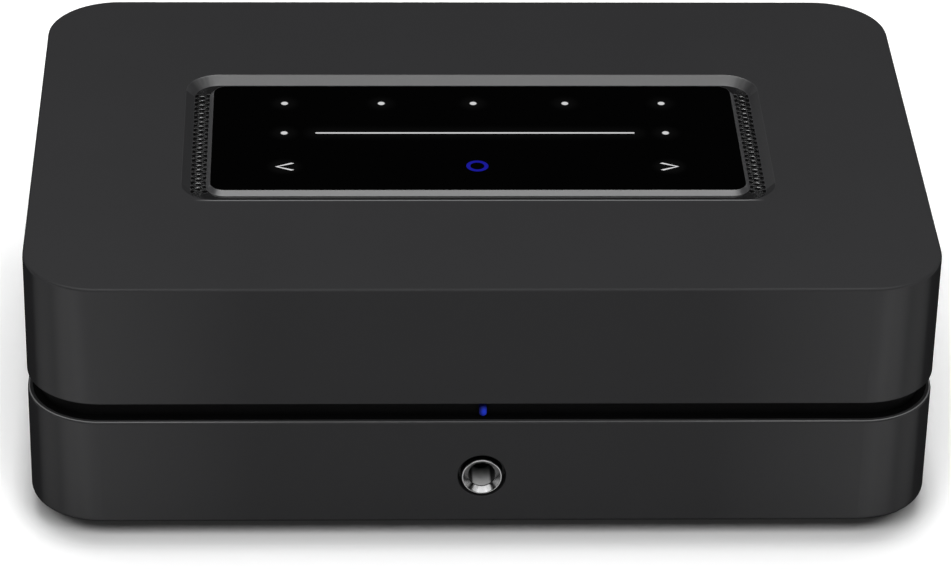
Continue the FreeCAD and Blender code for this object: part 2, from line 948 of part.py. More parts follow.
# Mid frame: dark band in the groove, with flanges that seat in both halves of the casing
def mid_frame():
    wall_z = rim_z - flange_height
    wall_top = cover_z + flange_height + frame_reach
    frame = case_slab(groove_depth, wall_z, wall_top - wall_z)
    flange = rim_land + flat_gap
    frame = frame.fuse(case_slab(flange, rim_z - flange_height, flange_height))
    frame = frame.fuse(case_slab(flange, cover_z, flange_height))
    frame = frame.cut(case_slab(frame_inner, wall_z, wall_top - wall_z))
    wall_back_y = front_y + frame_inner
    for x in (-indicator_peg_x, indicator_peg_x):
        peg_y = wall_back_y - peg_root
        peg_length = indicator_back + peg_root
        frame = frame.fuse(rod(x, peg_y, indicator_z, indicator_peg_radius, peg_length))
    hole_width = lens_width + 2 * flat_gap
    hole_height = lens_height + 2 * flat_gap
    hole_y = front_y + groove_depth
    frame = frame.cut(
        upright_pill(hole_width, hole_height, 0, hole_y, indicator_z, frame_wall)
    )
    return frame.removeSplitter()


# Indicator lens: light pipe through the mid frame, held by a collar behind its wall
def indicator_lens():
    start_y = front_y + groove_depth - lens_proud
    wall_back_y = front_y + frame_inner
    depth = wall_back_y + lens_collar - start_y
    lens = upright_pill(lens_width, lens_height, 0, start_y, indicator_z, depth)
    collar = upright_pill(
        lens_width + 2 * lens_collar,
        lens_height + 2 * lens_collar,
        0,
        wall_back_y,
        indicator_z,
        lens_collar,
    )
    return lens.fuse(collar).removeSplitter()


# Indicator board: small upright board on the frame's pegs, with the lamp behind the lens
def indicator_board():
    y = front_y + frame_inner + indicator_back
    board = block(
        0,
        y,
        indicator_z - indicator_board_height / 2,
        indicator_board_width,
        indicator_board_thickness,
        indicator_board_height,
    )
    lamp_depth = indicator_back - lens_collar - side_gap
    lamp_size = 2 * lens_width
    lamp = block(0, y - lamp_depth, indicator_z - lens_width, lamp_size, lamp_depth, lamp_size)
    return board.fuse(lamp).removeSplitter()


# Lower case: tray with a socket hole, a rear window, posts, bosses, foot seats and floor vents
def lower_case():
    tray = soften(case_slab(0, lower_z, lower_height), lower_z, case_edge)
    tray = soften(tray, rim_z, rim_edge)
    tray = tray.cut(case_slab(case_wall, floor_z, rim_z - floor_z))
    tray = tray.cut(case_slab(rim_land, rim_z - flange_height, flange_height))
    for x, y in case_posts:
        tray = tray.fuse(upright(x, y, floor_z, lower_post_radius, post_joint_z - floor_z))
    for x, y in board_holes:
        tray = tray.fuse(upright(x, y, floor_z, boss_radius, board_standoff))
    for x, z in panel_holes:
        bracket_top = z + bracket_half
        bracket = block(
            x,
            panel_back_y - bracket_depth,
            floor_z,
            2 * bracket_half,
            bracket_depth,
            bracket_top - floor_z,
        )
        tray = tray.fuse(bracket)
    for x, y in case_posts:
        tray = tray.cut(upright(x, y, lower_z, pass_radius, post_joint_z - lower_z))
        tray = tray.cut(upright(x, y, lower_z, screw_head_radius + side_gap, case_screw_sink))
    for x, y in board_holes:
        tray = tray.cut(upright(x, y, floor_z, pilot_radius, board_standoff))
    for x, z in panel_holes:
        hole_depth = panel_screw_depth + tip_room
        tray = tray.cut(rod(x, panel_back_y - hole_depth, z, pilot_radius, hole_depth))
    for x, y in feet:
        tray = tray.cut(upright(x, y, lower_z, foot_radius + side_gap, foot_seat))
    for slot in floor_slots(lower_z, case_floor):
        tray = tray.cut(slot)
    window = Part.makeBox(
        2 * window_half,
        case_wall,
        window_top_z - window_z,
        Vector(-window_half, panel_face_y, window_z),
    )
    tray = tray.cut(window)
    tray = tray.cut(rod(0, front_y, phone_z, phone_hole_radius, case_wall))
    hole_edges = front_edges(tray, front_y, 2 * phone_hole_radius + edge_tolerance)
    return tray.makeFillet(phone_hole_edge, hole_edges).removeSplitter()


# Feet: soft round pads seated in the floor
def foot(x, y):
    pad = upright(x, y, 0, foot_radius, foot_height + foot_seat)
    return soften(pad, 0, foot_edge)


# Case screws: from below, through the lower posts into the cover's posts
def case_screws():
    head_z = lower_z + case_screw_sink
    screws = []
    for x, y in case_posts:
        screws.append(
            screw_up(
                x, y, head_z, screw_radius, case_screw_length, screw_head_radius, screw_head_height
            )
        )
    return screws


# Rear panel: plate behind the case's window, cut for every socket
def rear_panel():
    z = floor_z + flat_gap
    height = rim_z - flange_height - side_gap - z
    plate = Part.makeBox(
        2 * panel_half, panel_thickness, height, Vector(-panel_half, panel_back_y, z)
    )
    cuts = []
    for x in posts:
        cuts.append(rod(x, panel_back_y, port_z, collar_radius + flat_gap, panel_thickness))
    cuts.append(
        block(
            inlet_x,
            panel_back_y,
            board_top_z - flat_gap,
            inlet_width + 2 * flat_gap,
            panel_thickness,
            inlet_height + 2 * flat_gap,
        )
    )
    sockets = [
        (network_x, network_width, network_height),
        (usb_x, usb_width, usb_height),
        (hdmi_x, hdmi_width, hdmi_height),
    ]
    for x, width, height_above in sockets:
        cuts.append(
            block(
                x,
                panel_back_y,
                board_top_z - flat_gap,
                width + 2 * flat_gap,
                panel_thickness,
                height_above + 2 * flat_gap,
            )
        )
    cuts.append(rod(sub_x, panel_back_y, port_z, sleeve_radius + flat_gap, panel_thickness))
    for x in (usb_x, hdmi_x):
        cuts.append(rod(x, panel_back_y, jack_z, jack_bush_radius + flat_gap, panel_thickness))
    cuts.append(rod(button_x, panel_back_y, button_z, button_radius + button_run, panel_thickness))
    for x, z_hole in panel_holes:
        cuts.append(rod(x, panel_back_y, z_hole, pass_radius, panel_thickness))
    return plate.cut(Part.makeCompound(cuts))


def rear_panel_screws():
    screws = []
    for x, z in panel_holes:
        head = rod(x, panel_face_y, z, small_head_radius, small_head_height)
        length = panel_thickness + panel_screw_depth
        shank = rod(x, panel_back_y - panel_screw_depth, z, screw_radius, length)
        screws.append(head.fuse(shank).removeSplitter())
    return screws


# Headphone socket: threaded chrome bush, moulded body behind it, leaf contacts in the body
def phone_socket_ring():
    bush = rod(0, phone_front_y, phone_z, phone_bush_radius, phone_bush_length)
    bush = bush.makeFillet(phone_bush_lip, front_edges(bush, phone_front_y))
    bush = bush.cut(rod(0, phone_front_y, phone_z, phone_bore_radius, phone_bush_length))
    cone = Part.makeCone(
        phone_bore_radius + phone_cone_width,
        phone_bore_radius,
        phone_cone_depth,
        Vector(0, phone_front_y, phone_z),
        Vector(0, 1, 0),
    )
    return bush.cut(cone)


def phone_contacts():
    contacts = []
    for turn in (0, 120, 240):
        leaf = Part.makeBox(
            contact_width,
            contact_length,
            contact_thickness,
            Vector(
                -contact_width / 2,
                bush_end_y + contact_start,
                phone_z + phone_body_bore + flat_gap,
            ),
        )
        leaf.rotate(Vector(0, 0, phone_z), Vector(0, 1, 0), turn)
        contacts.append(leaf)
    return contacts


def phone_socket_body():
    z = phone_z
    collar_y = front_y + phone_collar_setback
    body_y = bush_end_y - phone_bush_seat
    body = block(
        0, body_y, board_top_z, phone_body_width, phone_body_length, phone_body_height
    )
    body = body.fuse(rod(0, collar_y, z, phone_hole_radius - flat_gap, body_y - collar_y))
    body = body.cut(rod(0, collar_y, z, phone_bush_radius + flat_gap, bush_end_y - collar_y))
    bore_length = body_y + phone_body_length - phone_back_wall - bush_end_y
    body = body.cut(rod(0, bush_end_y, z, phone_body_bore, bore_length))
    for turn in (0, 120, 240):
        slot = Part.makeBox(
            contact_width + 2 * flat_gap,
            contact_length + 2 * flat_gap,
            phone_body_bore / 2 + contact_thickness + 2 * flat_gap,
            Vector(
                -contact_width / 2 - flat_gap,
                bush_end_y + contact_start - flat_gap,
                z + phone_body_bore / 2,
            ),
        )
        slot.rotate(Vector(0, 0, z), Vector(0, 1, 0), turn)
        body = body.cut(slot)
    return body.removeSplitter()


# Room round the brackets that carry the rear panel
def bracket_notches(z, height):
    front = panel_back_y - bracket_depth - notch_clearance
    width = 2 * (board_half - bracket_edge_x + notch_clearance)
    return [block(side * board_half, front, z, width, bracket_depth, height) for side in (-1, 1)]


# Boards: flat plates on the tray's bosses
def board(left, right, front, rear, holes):
    plate = Part.makeBox(right - left, rear - front, board_thickness, Vector(left, front, board_z))
    plate = plate.cut(Part.makeCompound(bracket_notches(board_z, board_thickness)))
    for x, y in holes:
        plate = plate.cut(upright(x, y, board_z, pilot_radius, board_thickness))
    return plate


def board_screws():
    screws = []
    for x, y in board_holes:
        length = board_thickness + board_standoff - flat_gap
        screws.append(
            screw_down(
                x, y, board_top_z, screw_radius, length, screw_head_radius, screw_head_height
            )
        )
    return screws


# Insulating sheet under the power board, cut round the bosses and over the vents
def insulating_sheet():
    sheet = Part.makeBox(
        board_half + power_board_right,
        board_rear_y - board_front_y,
        sheet_thickness,
        Vector(-board_half, board_front_y, floor_z),
    )
    for x, y in power_screws:
        sheet = sheet.cut(upright(x, y, floor_z, boss_radius + side_gap, sheet_thickness))
    for slot in floor_slots(floor_z, sheet_thickness) + bracket_notches(floor_z, sheet_thickness):
        sheet = sheet.cut(slot)
    return sheet


# Terminal block: moulded bar outside the rear panel with a collar through it for each stud
def terminal_block():
    z = window_z + block_gap
    height = window_top_z - window_z - 2 * block_gap
    bar = Part.makeBox(block_width, block_thickness, height, Vector(block_left, panel_face_y, z))
    outer_y = panel_face_y + block_thickness
    bar = bar.makeFillet(block_edge, front_edges(bar, outer_y))
    collar_y = panel_face_y - collar_length
    for x in posts:
        bar = bar.fuse(rod(x, collar_y, port_z, collar_radius, collar_length))
    for x in posts:
        hole_length = collar_length + block_thickness
        bar = bar.cut(rod(x, collar_y, port_z, stud_radius + flat_gap / 2, hole_length))
    return bar.removeSplitter()


def terminal_stud(x):
    collar_y = panel_face_y - collar_length
    shoulder_y = collar_y - stud_shoulder
    tail_y = output_board_back_y - stud_tail_end
    stud = rod(x, collar_y, port_z, stud_radius, stud_end_y - collar_y)
    stud = stud.fuse(rod(x, shoulder_y, port_z, stud_shoulder_radius, stud_shoulder))
    stud = stud.fuse(rod(x, tail_y, port_z, stud_tail_radius, shoulder_y - tail_y))
    stud = stud.cut(rod(x, stud_end_y - banana_depth, port_z, banana_radius, banana_depth))
    wire_y = washer_y + wire_hole_radius
    reach = collar_radius
    stud = stud.cut(upright(x, wire_y, port_z - reach, wire_hole_radius, 2 * reach))
    return stud.removeSplitter()


def clamp_washer(x):
    washer = rod(x, washer_y, port_z, washer_radius, washer_thickness)
    return washer.cut(rod(x, washer_y, port_z, washer_bore_radius, washer_thickness))


# Terminal knob: ribbed cap that turns on the stud's thread
def terminal_knob(x):
    ribbed = knob_length - knob_nose
    knob = rod(x, knob_y, port_z, knob_radius, ribbed)
    nose_y = knob_y + ribbed
    nose = Part.makeCone(
        knob_radius,
        knob_radius - knob_nose_step,
        knob_nose,
        Vector(x, nose_y, port_z),
        Vector(0, 1, 0),
    )
    knob = knob.fuse(nose)
    grooves = []
    for number in range(knob_ribs):
        turn = 2 * math.pi * number / knob_ribs
        groove_x = x + knob_radius * math.cos(turn)
        groove_z = port_z + knob_radius * math.sin(turn)
        grooves.append(rod(groove_x, knob_y + knob_skirt, groove_z, knob_groove_radius, ribbed))
    knob = knob.cut(Part.makeCompound(grooves))
    return knob.cut(rod(x, knob_y, port_z, knob_bore_radius, knob_length))


# Speaker output board: upright board on the studs' tails, standing on the power board
def speaker_output_board():
    start_y = output_board_back_y
    plate = Part.makeBox(
        block_width,
        output_board_thickness,
        output_board_height,
        Vector(block_left, start_y, board_top_z),
    )
    hole_radius = stud_tail_radius + flat_gap
    for x in posts:
        plate = plate.cut(rod(x, start_y, port_z, hole_radius, output_board_thickness))
    return plate


# Mains inlet: moulded body with a deep well and two pins
def mains_inlet():
    start_y = port_face_y - inlet_depth
    body = block(inlet_x, start_y, board_top_z, inlet_width, inlet_depth, inlet_height)
    well_y = port_face_y - inlet_well_depth
    well = flat_pill(
        inlet_well_width, inlet_well_height, inlet_x, well_y, inlet_z, inlet_well_depth
    )
    body = body.cut(well)
    for side in (-1, 1):
        x = inlet_x + side * inlet_pin_spacing / 2
        body = body.cut(rod(x, start_y, inlet_z, inlet_pin_radius, inlet_depth))
    return body


def mains_inlet_pins():
    start_y = port_face_y - inlet_depth
    length = inlet_depth - inlet_well_depth + inlet_pin_length
    pins = []
    for side in (-1, 1):
        x = inlet_x + side * inlet_pin_spacing / 2
        pins.append(rod(x, start_y, inlet_z, inlet_pin_radius, length))
    return pins


# Network socket: shielded box with a mouth and a notch for the plug's latch
def network_socket():
    start_y = port_face_y - network_depth
    box = block(network_x, start_y, board_top_z, network_width, network_depth, network_height)
    mouth_y = port_face_y - network_mouth_depth
    mouth_z = board_top_z + network_mouth_rise
    box = box.cut(
        block(
            network_x,
            mouth_y,
            mouth_z,
            network_mouth_width,
            network_mouth_depth,
            network_mouth_height,
        )
    )
    return box.cut(
        block(
            network_x,
            mouth_y,
            mouth_z + network_mouth_height,
            network_latch_width,
            network_mouth_depth,
            network_latch_height,
        )
    )


# Flat sockets: thin metal shell, closed behind, with a moulded tongue inside
def flat_socket(x, width, height, depth):
    start_y = port_face_y - depth
    shell = block(x, start_y, board_top_z, width, depth, height)
    return shell.cut(
        block(
            x,
            start_y + shell_back,
            board_top_z + shell_wall,
            width - 2 * shell_wall,
            depth - shell_back,
            height - 2 * shell_wall,
        )
    )


def port_tongues():
    tongues = []
    ports = [
        (usb_x, usb_depth, usb_tongue_width, usb_tongue_height, usb_tongue_rise),
        (hdmi_x, hdmi_depth, hdmi_tongue_width, hdmi_tongue_height, hdmi_tongue_rise),
    ]
    for x, depth, width, thickness, rise in ports:
        start_y = port_face_y - depth + shell_back
        length = depth - shell_back - tongue_setback
        tongues.append(block(x, start_y, board_top_z + rise, width, length, thickness))
    return tongues


# Small jack sockets: body behind the panel with a round bush through it
def jack_socket(x):
    z = jack_z
    start_y = panel_back_y - jack_body_depth
    body = block(
        x, start_y, z - jack_body_height / 2, jack_body_width, jack_body_depth, jack_body_height
    )
    body = body.fuse(rod(x, panel_back_y, z, jack_bush_radius, port_face_y - panel_back_y))
    body = body.cut(rod(x, port_face_y - jack_bore_depth, z, jack_bore_radius, jack_bore_depth))
    return body.removeSplitter()


# Subwoofer socket: plated sleeve round a moulded core
def sub_out_socket():
    sleeve = rod(sub_x, panel_back_y, port_z, sleeve_radius, panel_thickness + sleeve_length)
    flange = rod(sub_x, panel_face_y, port_z, sleeve_flange_radius, sleeve_flange)
    sleeve = sleeve.fuse(flange).removeSplitter()
    length = panel_thickness + sleeve_length
    return sleeve.cut(rod(sub_x, panel_back_y, port_z, sleeve_radius - sleeve_wall, length))


def sub_out_insulator():
    start_y = panel_back_y - sub_body_depth
    height = port_z + sub_body_width / 2 - board_top_z
    body = block(sub_x, start_y, board_top_z, sub_body_width, sub_body_depth, height)
    core_end = panel_face_y + sleeve_length - sleeve_flange
    core_radius = sleeve_radius - sleeve_wall - flat_gap / 2
    body = body.fuse(rod(sub_x, panel_back_y, port_z, core_radius, core_end - panel_back_y))
    body = body.cut(rod(sub_x, core_end - sub_hole_depth, port_z, sub_hole_radius, sub_hole_depth))
    return body.removeSplitter()


# Set-up button: moulded plunger in the rear panel, in front of a switch on the main board
def setup_button():
    z = button_z
    flange_y = panel_back_y - flat_gap - button_flange
    button = rod(button_x, flange_y, z, button_radius, panel_face_y + button_proud - flange_y)
    flange = rod(button_x, flange_y, z, button_flange_radius, button_flange)
    stem = rod(button_x, flange_y - button_stem, z, button_stem_radius, button_stem)
    return button.fuse(flange).fuse(stem).removeSplitter()


def setup_switch():
    flange_y = panel_back_y - flat_gap - button_flange
    face_y = flange_y - button_stem - button_travel - side_gap
    return block(
        button_x, face_y - switch_depth, board_top_z, switch_width, switch_depth, switch_height
    )


# Heat sink: extruded base with upright fins, standing on four legs
def heat_sink():
    base_z = board_top_z + chip_height + pad_thickness
    sink = Part.makeBox(
        sink_width,
        sink_length,
        sink_base,
        Vector(sink_x - sink_width / 2, sink_y - sink_length / 2, base_z),
    )
    step = (sink_width - fin_thickness) / (fin_count - 1)
    for number in range(fin_count):
        x = sink_x - sink_width / 2 + fin_thickness / 2 + number * step
        sink = sink.fuse(
            block(x, sink_y - sink_length / 2, base_z, fin_thickness, sink_length, sink_height)
        )
    for x, y in sink_legs():
        sink = sink.fuse(upright(x, y, board_top_z, sink_leg_radius, base_z - board_top_z))
        sink = sink.cut(upright(x, y, board_top_z, small_pilot_radius, base_z - board_top_z))
    return sink.removeSplitter()


def sink_legs():
    half_x = sink_width / 2 - sink_leg_inset
    half_y = sink_length / 2 - sink_leg_inset
    return [
        (sink_x + x, sink_y + y) for x in (-half_x, half_x) for y in (-half_y, half_y)
    ]


def heat_sink_screws():
    screws = []
    for x, y in sink_legs():
        length = board_thickness + chip_height
        screws.append(
            screw_up(x, y, board_z, small_screw_radius, length, small_head_radius, small_head_height)
        )
    return screws


def amplifier_chips():
    chips = []
    for y in (sink_y - chip_spread_y, sink_y + chip_spread_y):
        chips.append(block(sink_x, y - chip_size / 2, board_top_z, chip_size, chip_size, chip_height))
    return chips


def thermal_pads():
    pads = []
    z = board_top_z + chip_height
    for y in (sink_y - chip_spread_y, sink_y + chip_spread_y):
        pads.append(block(sink_x, y - chip_size / 2, z, chip_size, chip_size, pad_thickness))
    return pads


# Transformer: square core with a wound bobbin that stands out at its front and rear
def mains_transformer():
    core = block(
        transformer_x,
        transformer_y - transformer_depth * core_share / 2,
        board_top_z,
        transformer_width,
        transformer_depth * core_share,
        transformer_height,
    )
    coil = slab(
        transformer_coil,
        transformer_depth,
        transformer_coil_corner,
        board_top_z,
        transformer_height - transformer_coil_drop,
        transformer_x,
        transformer_y,
    )
    return core.fuse(coil).removeSplitter()


def reservoir_capacitors():
    cans = []
    for number in range(2):
        x = capacitor_x + number * capacitor_pitch
        can = upright(x, capacitor_y, board_top_z, capacitor_radius, capacitor_height)
        cans.append(soften(can, board_top_z + capacitor_height, capacitor_rim))
    return cans


def mains_filter_choke():
    ring = upright(choke_x, choke_y, board_top_z, choke_radius, choke_height)
    ring = ring.cut(upright(choke_x, choke_y, board_top_z, choke_hole_radius, choke_height))
    return soften(ring, board_top_z + choke_height, choke_rim)


def output_inductors():
    coils = []
    for number in range(inductor_count):
        x = inductor_x - number * inductor_pitch
        coils.append(
            slab(
                inductor_size,
                inductor_size,
                inductor_corner,
                board_top_z,
                inductor_height,
                x,
                inductor_y,
            )
        )
    return coils


# Board link: connector that bridges the gap between the power board and the main board
def board_link():
    return block(
        board_split_x, link_y - link_length / 2, board_top_z, link_width, link_length, link_height
    )


def processor_chip():
    return block(
        processor_x,
        processor_y - processor_size / 2,
        board_top_z,
        processor_size,
        processor_size,
        processor_height,
    )


# Radio shield: thin pressed can, open below
def radio_shield():
    can = slab(
        shield_width,
        shield_depth,
        shield_corner,
        board_top_z,
        shield_height,
        shield_x,
        shield_y,
    )
    return can.cut(
        slab(
            shield_width - 2 * shield_wall,
            shield_depth - 2 * shield_wall,
            shield_corner - shield_wall,
            board_top_z,
            shield_height - shield_wall,
            shield_x,
            shield_y,
        )
    )


# Antennas: flat strips on the inner sides of the mid frame
def antennas():
    strips = []
    inner = case_width / 2 - frame_inner
    z = (rim_z + cover_z) / 2 - antenna_height / 2
    for side in (-1, 1):
        x = side * (inner - antenna_thickness / 2)
        y = -antenna_length / 2
        strips.append(block(x, y, z, antenna_thickness, antenna_length, antenna_height))
    return strips


# Touch cable: flat strip from the touch board down to its socket on the main board
def touch_cable():
    socket_top = board_top_z + flex_socket_height
    return block(
        flex_x, flex_y, socket_top, flex_width, flex_thickness, touch_board_z - socket_top
    )


def headphone_board():
    half = headphone_board_half
    return board(-half, half, headphone_board_front, headphone_board_rear, headphone_screws)


def power_board():
    plate = board(-board_half, power_board_right, board_front_y, board_rear_y, power_screws)
    for x, y in sink_legs():
        plate = plate.cut(upright(x, y, board_z, small_pilot_radius, board_thickness))
    return plate


def main_board():
    plate = board(main_board_left, board_half, board_front_y, board_rear_y, main_screws)
    socket = block(
        flex_x,
        flex_y + flex_thickness / 2 - flex_socket_depth / 2,
        board_top_z,
        flex_width + 2 * flex_socket_end,
        flex_socket_depth,
        flex_socket_height,
    )
    return plate.fuse(socket).removeSplitter()


# Build every piece
save("upper_cover", upper_cover())
save("vent_grille", vent_grille())
save("panel_bezel", panel_bezel())
save("touch_glass", touch_glass())
save("icon_windows", *icon_solids())
save("power_ring_window", power_ring())
save("touch_light_guide", touch_light_guide())
save("touch_board", touch_board())
save("panel_carrier", panel_carrier())
save("touch_cable", touch_cable())
save("mid_frame", mid_frame())
save("indicator_lens", indicator_lens())
save("indicator_board", indicator_board())
save("lower_case", lower_case())
save("feet", *[foot(x, y) for x, y in feet])
save("case_screws", *case_screws())
save("rear_panel", rear_panel())
save("rear_panel_screws", *rear_panel_screws())
save("phone_socket_ring", phone_socket_ring())
save("phone_socket_body", phone_socket_body())
save("phone_socket_contacts", *phone_contacts())
save("headphone_board", headphone_board())
save("power_board", power_board())
save("main_board", main_board())
save("inner_screws", *board_screws(), *panel_carrier_screws())
save("small_screws", *touch_board_screws(), *heat_sink_screws())
save("insulating_sheet", insulating_sheet())
save("terminal_block", terminal_block())
save("terminal_studs", *[terminal_stud(x) for x in posts])
for post_name, x in zip(post_names, posts):
    save("clamp_washer_" + post_name, clamp_washer(x))
    save("terminal_knob_" + post_name, terminal_knob(x))
save("speaker_output_board", speaker_output_board())
save("mains_inlet", mains_inlet())
save("mains_inlet_pins", *mains_inlet_pins())
save("network_socket", network_socket())
save("usb_socket", flat_socket(usb_x, usb_width, usb_height, usb_depth))
save("hdmi_socket", flat_socket(hdmi_x, hdmi_width, hdmi_height, hdmi_depth))
save("port_tongues", *port_tongues())
save("jack_sockets", jack_socket(usb_x), jack_socket(hdmi_x))
save("sub_out_socket", sub_out_socket())
save("sub_out_insulator", sub_out_insulator())
save("setup_button", setup_button())
save("setup_switch", setup_switch())
save("heat_sink", heat_sink())
save("amplifier_chips", *amplifier_chips())
save("thermal_pads", *thermal_pads())
save("mains_transformer", mains_transformer())
save("reservoir_capacitors", *reservoir_capacitors())
save("mains_filter_choke", mains_filter_choke())
save("output_inductors", *output_inductors())
save("board_link", board_link())
save("processor_chip", processor_chip())
save("radio_shield", radio_shield())
save("antennas", *antennas())
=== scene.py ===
import math

import bmesh
import bpy
from mathutils import Matrix, Vector


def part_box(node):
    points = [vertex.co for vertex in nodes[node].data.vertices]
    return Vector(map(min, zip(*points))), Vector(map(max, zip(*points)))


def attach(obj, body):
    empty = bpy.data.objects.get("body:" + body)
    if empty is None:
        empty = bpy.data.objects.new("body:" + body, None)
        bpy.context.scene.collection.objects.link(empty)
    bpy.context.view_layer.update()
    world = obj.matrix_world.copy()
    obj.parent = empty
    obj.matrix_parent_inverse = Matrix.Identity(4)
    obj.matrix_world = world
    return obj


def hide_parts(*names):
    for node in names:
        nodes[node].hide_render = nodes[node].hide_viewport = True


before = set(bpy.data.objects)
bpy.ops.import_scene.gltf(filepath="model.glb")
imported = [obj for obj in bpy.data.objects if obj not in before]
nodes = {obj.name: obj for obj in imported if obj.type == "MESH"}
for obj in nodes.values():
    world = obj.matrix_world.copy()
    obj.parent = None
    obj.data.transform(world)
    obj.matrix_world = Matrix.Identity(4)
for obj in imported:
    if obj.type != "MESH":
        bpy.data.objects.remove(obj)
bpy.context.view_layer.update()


# Feet
# Four round pads of soft black rubber, moulded with a rounded rim and fine rings that grip the shelf.
# Each is glued into a shallow round seat in the floor of the lower case.
def fill(finish, made, inputs):
    """Sets inputs of a node, each to a value or to an output of another node."""
    for name, value in inputs.items():
        if isinstance(value, bpy.types.NodeSocket):
            finish.node_tree.links.new(value, made.inputs[name])
        else:
            made.inputs[name].default_value = value
    return made


def add_node(finish, kind, inputs={}):
    """A new node of a finish."""
    return fill(finish, finish.node_tree.nodes.new(kind), inputs)


def step(finish, operation, *values):
    """Result of a sum on numbers."""
    made = add_node(finish, "ShaderNodeMath", dict(enumerate(values)))
    made.operation = operation
    return made.outputs["Value"]


def vector_step(finish, operation, *values):
    """Result of a sum on places or slopes, which is one number for a length or a product."""
    made = add_node(finish, "ShaderNodeVectorMath", dict(enumerate(values)))
    made.operation = operation
    return made.outputs["Value" if operation in ("LENGTH", "DOT_PRODUCT") else "Vector"]


def spread_over(finish, value, start, end, low=0.0, high=1.0, smooth=False):
    """A value carried from one span to another, and held at its ends."""
    spans = {"From Min": start, "From Max": end, "To Min": low, "To Max": high}
    made = add_node(finish, "ShaderNodeMapRange", {"Value": value, **spans})
    if smooth:
        made.interpolation_type = "SMOOTHSTEP"
    return made.outputs["Result"]


def blend(finish, share, first, second):
    """Blend of two colours."""
    made = finish.node_tree.nodes.new("ShaderNodeMix")
    made.data_type = "RGBA"
    return fill(finish, made, {"Factor": share, "A": first, "B": second}).outputs["Result"]


def on_piece(finish):
    """Place on the piece."""
    return add_node(finish, "ShaderNodeTexCoord").outputs["Object"]


def to_shader(finish, inputs):
    """Sets inputs of the shader of a finish."""
    fill(finish, finish.node_tree.nodes["Principled BSDF"], inputs)


def surface(
    name, colour, tint, worn, rough, spread=0.08, grain=0.0004, depth=0.00001,
    cloud=0.02, edge=0.0004, metal=0.0, shine=0.5, drawn=(1, 1, 1), rounded=False,
):
    """A finish with uneven colour and gloss, a fine or drawn grain, and edges rubbed to the worn colour."""
    made = bpy.data.materials.new(name)
    made.use_nodes = True
    place = on_piece(made)
    clouds = add_node(made, "ShaderNodeTexNoise", {"Vector": place, "Scale": 1 / cloud, "Detail": 3})
    cloudy = clouds.outputs["Fac"]
    pull = add_node(made, "ShaderNodeMapping", {"Vector": place, "Scale": drawn})
    pulled = pull.outputs["Vector"]
    fine = add_node(made, "ShaderNodeTexNoise", {"Vector": pulled, "Scale": 1 / grain, "Detail": 2})
    grainy = fine.outputs["Fac"]
    round_edge = add_node(made, "ShaderNodeBevel", {"Radius": edge})
    round_edge.samples = 6
    flat = add_node(made, "ShaderNodeNewGeometry").outputs["Normal"]
    match = vector_step(made, "DOT_PRODUCT", round_edge.outputs["Normal"], flat)
    rubbed = step(made, "MULTIPLY", spread_over(made, match, 0.985, 0.86), cloudy)
    mottled = blend(made, cloudy, (*colour, 1), (*tint, 1))
    whole_colour = blend(made, rubbed, mottled, (*worn, 1))
    whole_colour.node.name = "rubbed colour"
    bump = add_node(made, "ShaderNodeBump", {"Height": grainy, "Distance": depth})
    if rounded:
        fill(made, bump, {"Normal": round_edge.outputs["Normal"]})
    gloss = spread_over(made, grainy, 0, 1, rough - spread, rough + spread)
    to_shader(made, {"Base Color": whole_colour, "Roughness": gloss, "Normal": bump.outputs["Normal"]})
    to_shader(made, {"Metallic": metal, "Specular IOR Level": shine})
    return made


def turned(outline, steps=64, closed=False):
    """Mesh turned on an upright axis from rows of radius and height. A radius may vary with the turn."""
    shape = bmesh.new()
    rings = []
    for radius, height in outline:
        ring = []
        for number in range(steps):
            turn = 2 * math.pi * number / steps
            reach = radius(turn) if callable(radius) else radius
            if reach == 0 and ring:
                continue
            ring.append(shape.verts.new((reach * math.cos(turn), reach * math.sin(turn), height)))
        rings.append(ring)
    pairs = list(zip(rings, rings[1:]))
    if closed:
        pairs.append((rings[-1], rings[0]))
    for lower, upper in pairs:
        for number in range(steps):
            after = (number + 1) % steps
            corners = []
            for ring, place in ((lower, number), (lower, after), (upper, after), (upper, number)):
                corner = ring[place % len(ring)]
                if corner not in corners:
                    corners.append(corner)
            if len(corners) > 2:
                shape.faces.new(corners)
    bmesh.ops.recalc_face_normals(shape, faces=shape.faces)
    return shape


def bend(start, end, centre, points=5):
    """Rows of radius and height along a quarter round about a centre."""
    rows = []
    for number in range(points + 1):
        turn = math.pi / 2 * number / points
        sides = zip(start, end, centre)
        rows.append([mid + (a - mid) * math.cos(turn) + (b - mid) * math.sin(turn) for a, b, mid in sides])
    return rows


def boxes_of(name):
    """Lowest and highest corner of each solid in a node, sorted from left to right and front to rear."""
    shape = bmesh.new()
    shape.from_mesh(nodes[name].data)
    bmesh.ops.remove_doubles(shape, verts=shape.verts, dist=1e-6)
    boxes = []
    for start in shape.verts:
        if start.tag:
            continue
        start.tag = True
        waiting = [start]
        low = start.co.copy()
        high = start.co.copy()
        while waiting:
            point = waiting.pop()
            for axis in range(3):
                low[axis] = min(low[axis], point.co[axis])
                high[axis] = max(high[axis], point.co[axis])
            for joined in point.link_edges:
                other = joined.other_vert(point)
                if not other.tag:
                    other.tag = True
                    waiting.append(other)
        boxes.append((low, high))
    shape.free()
    boxes.sort(key=lambda box: [round(value, 5) for value in box[0]])
    return boxes


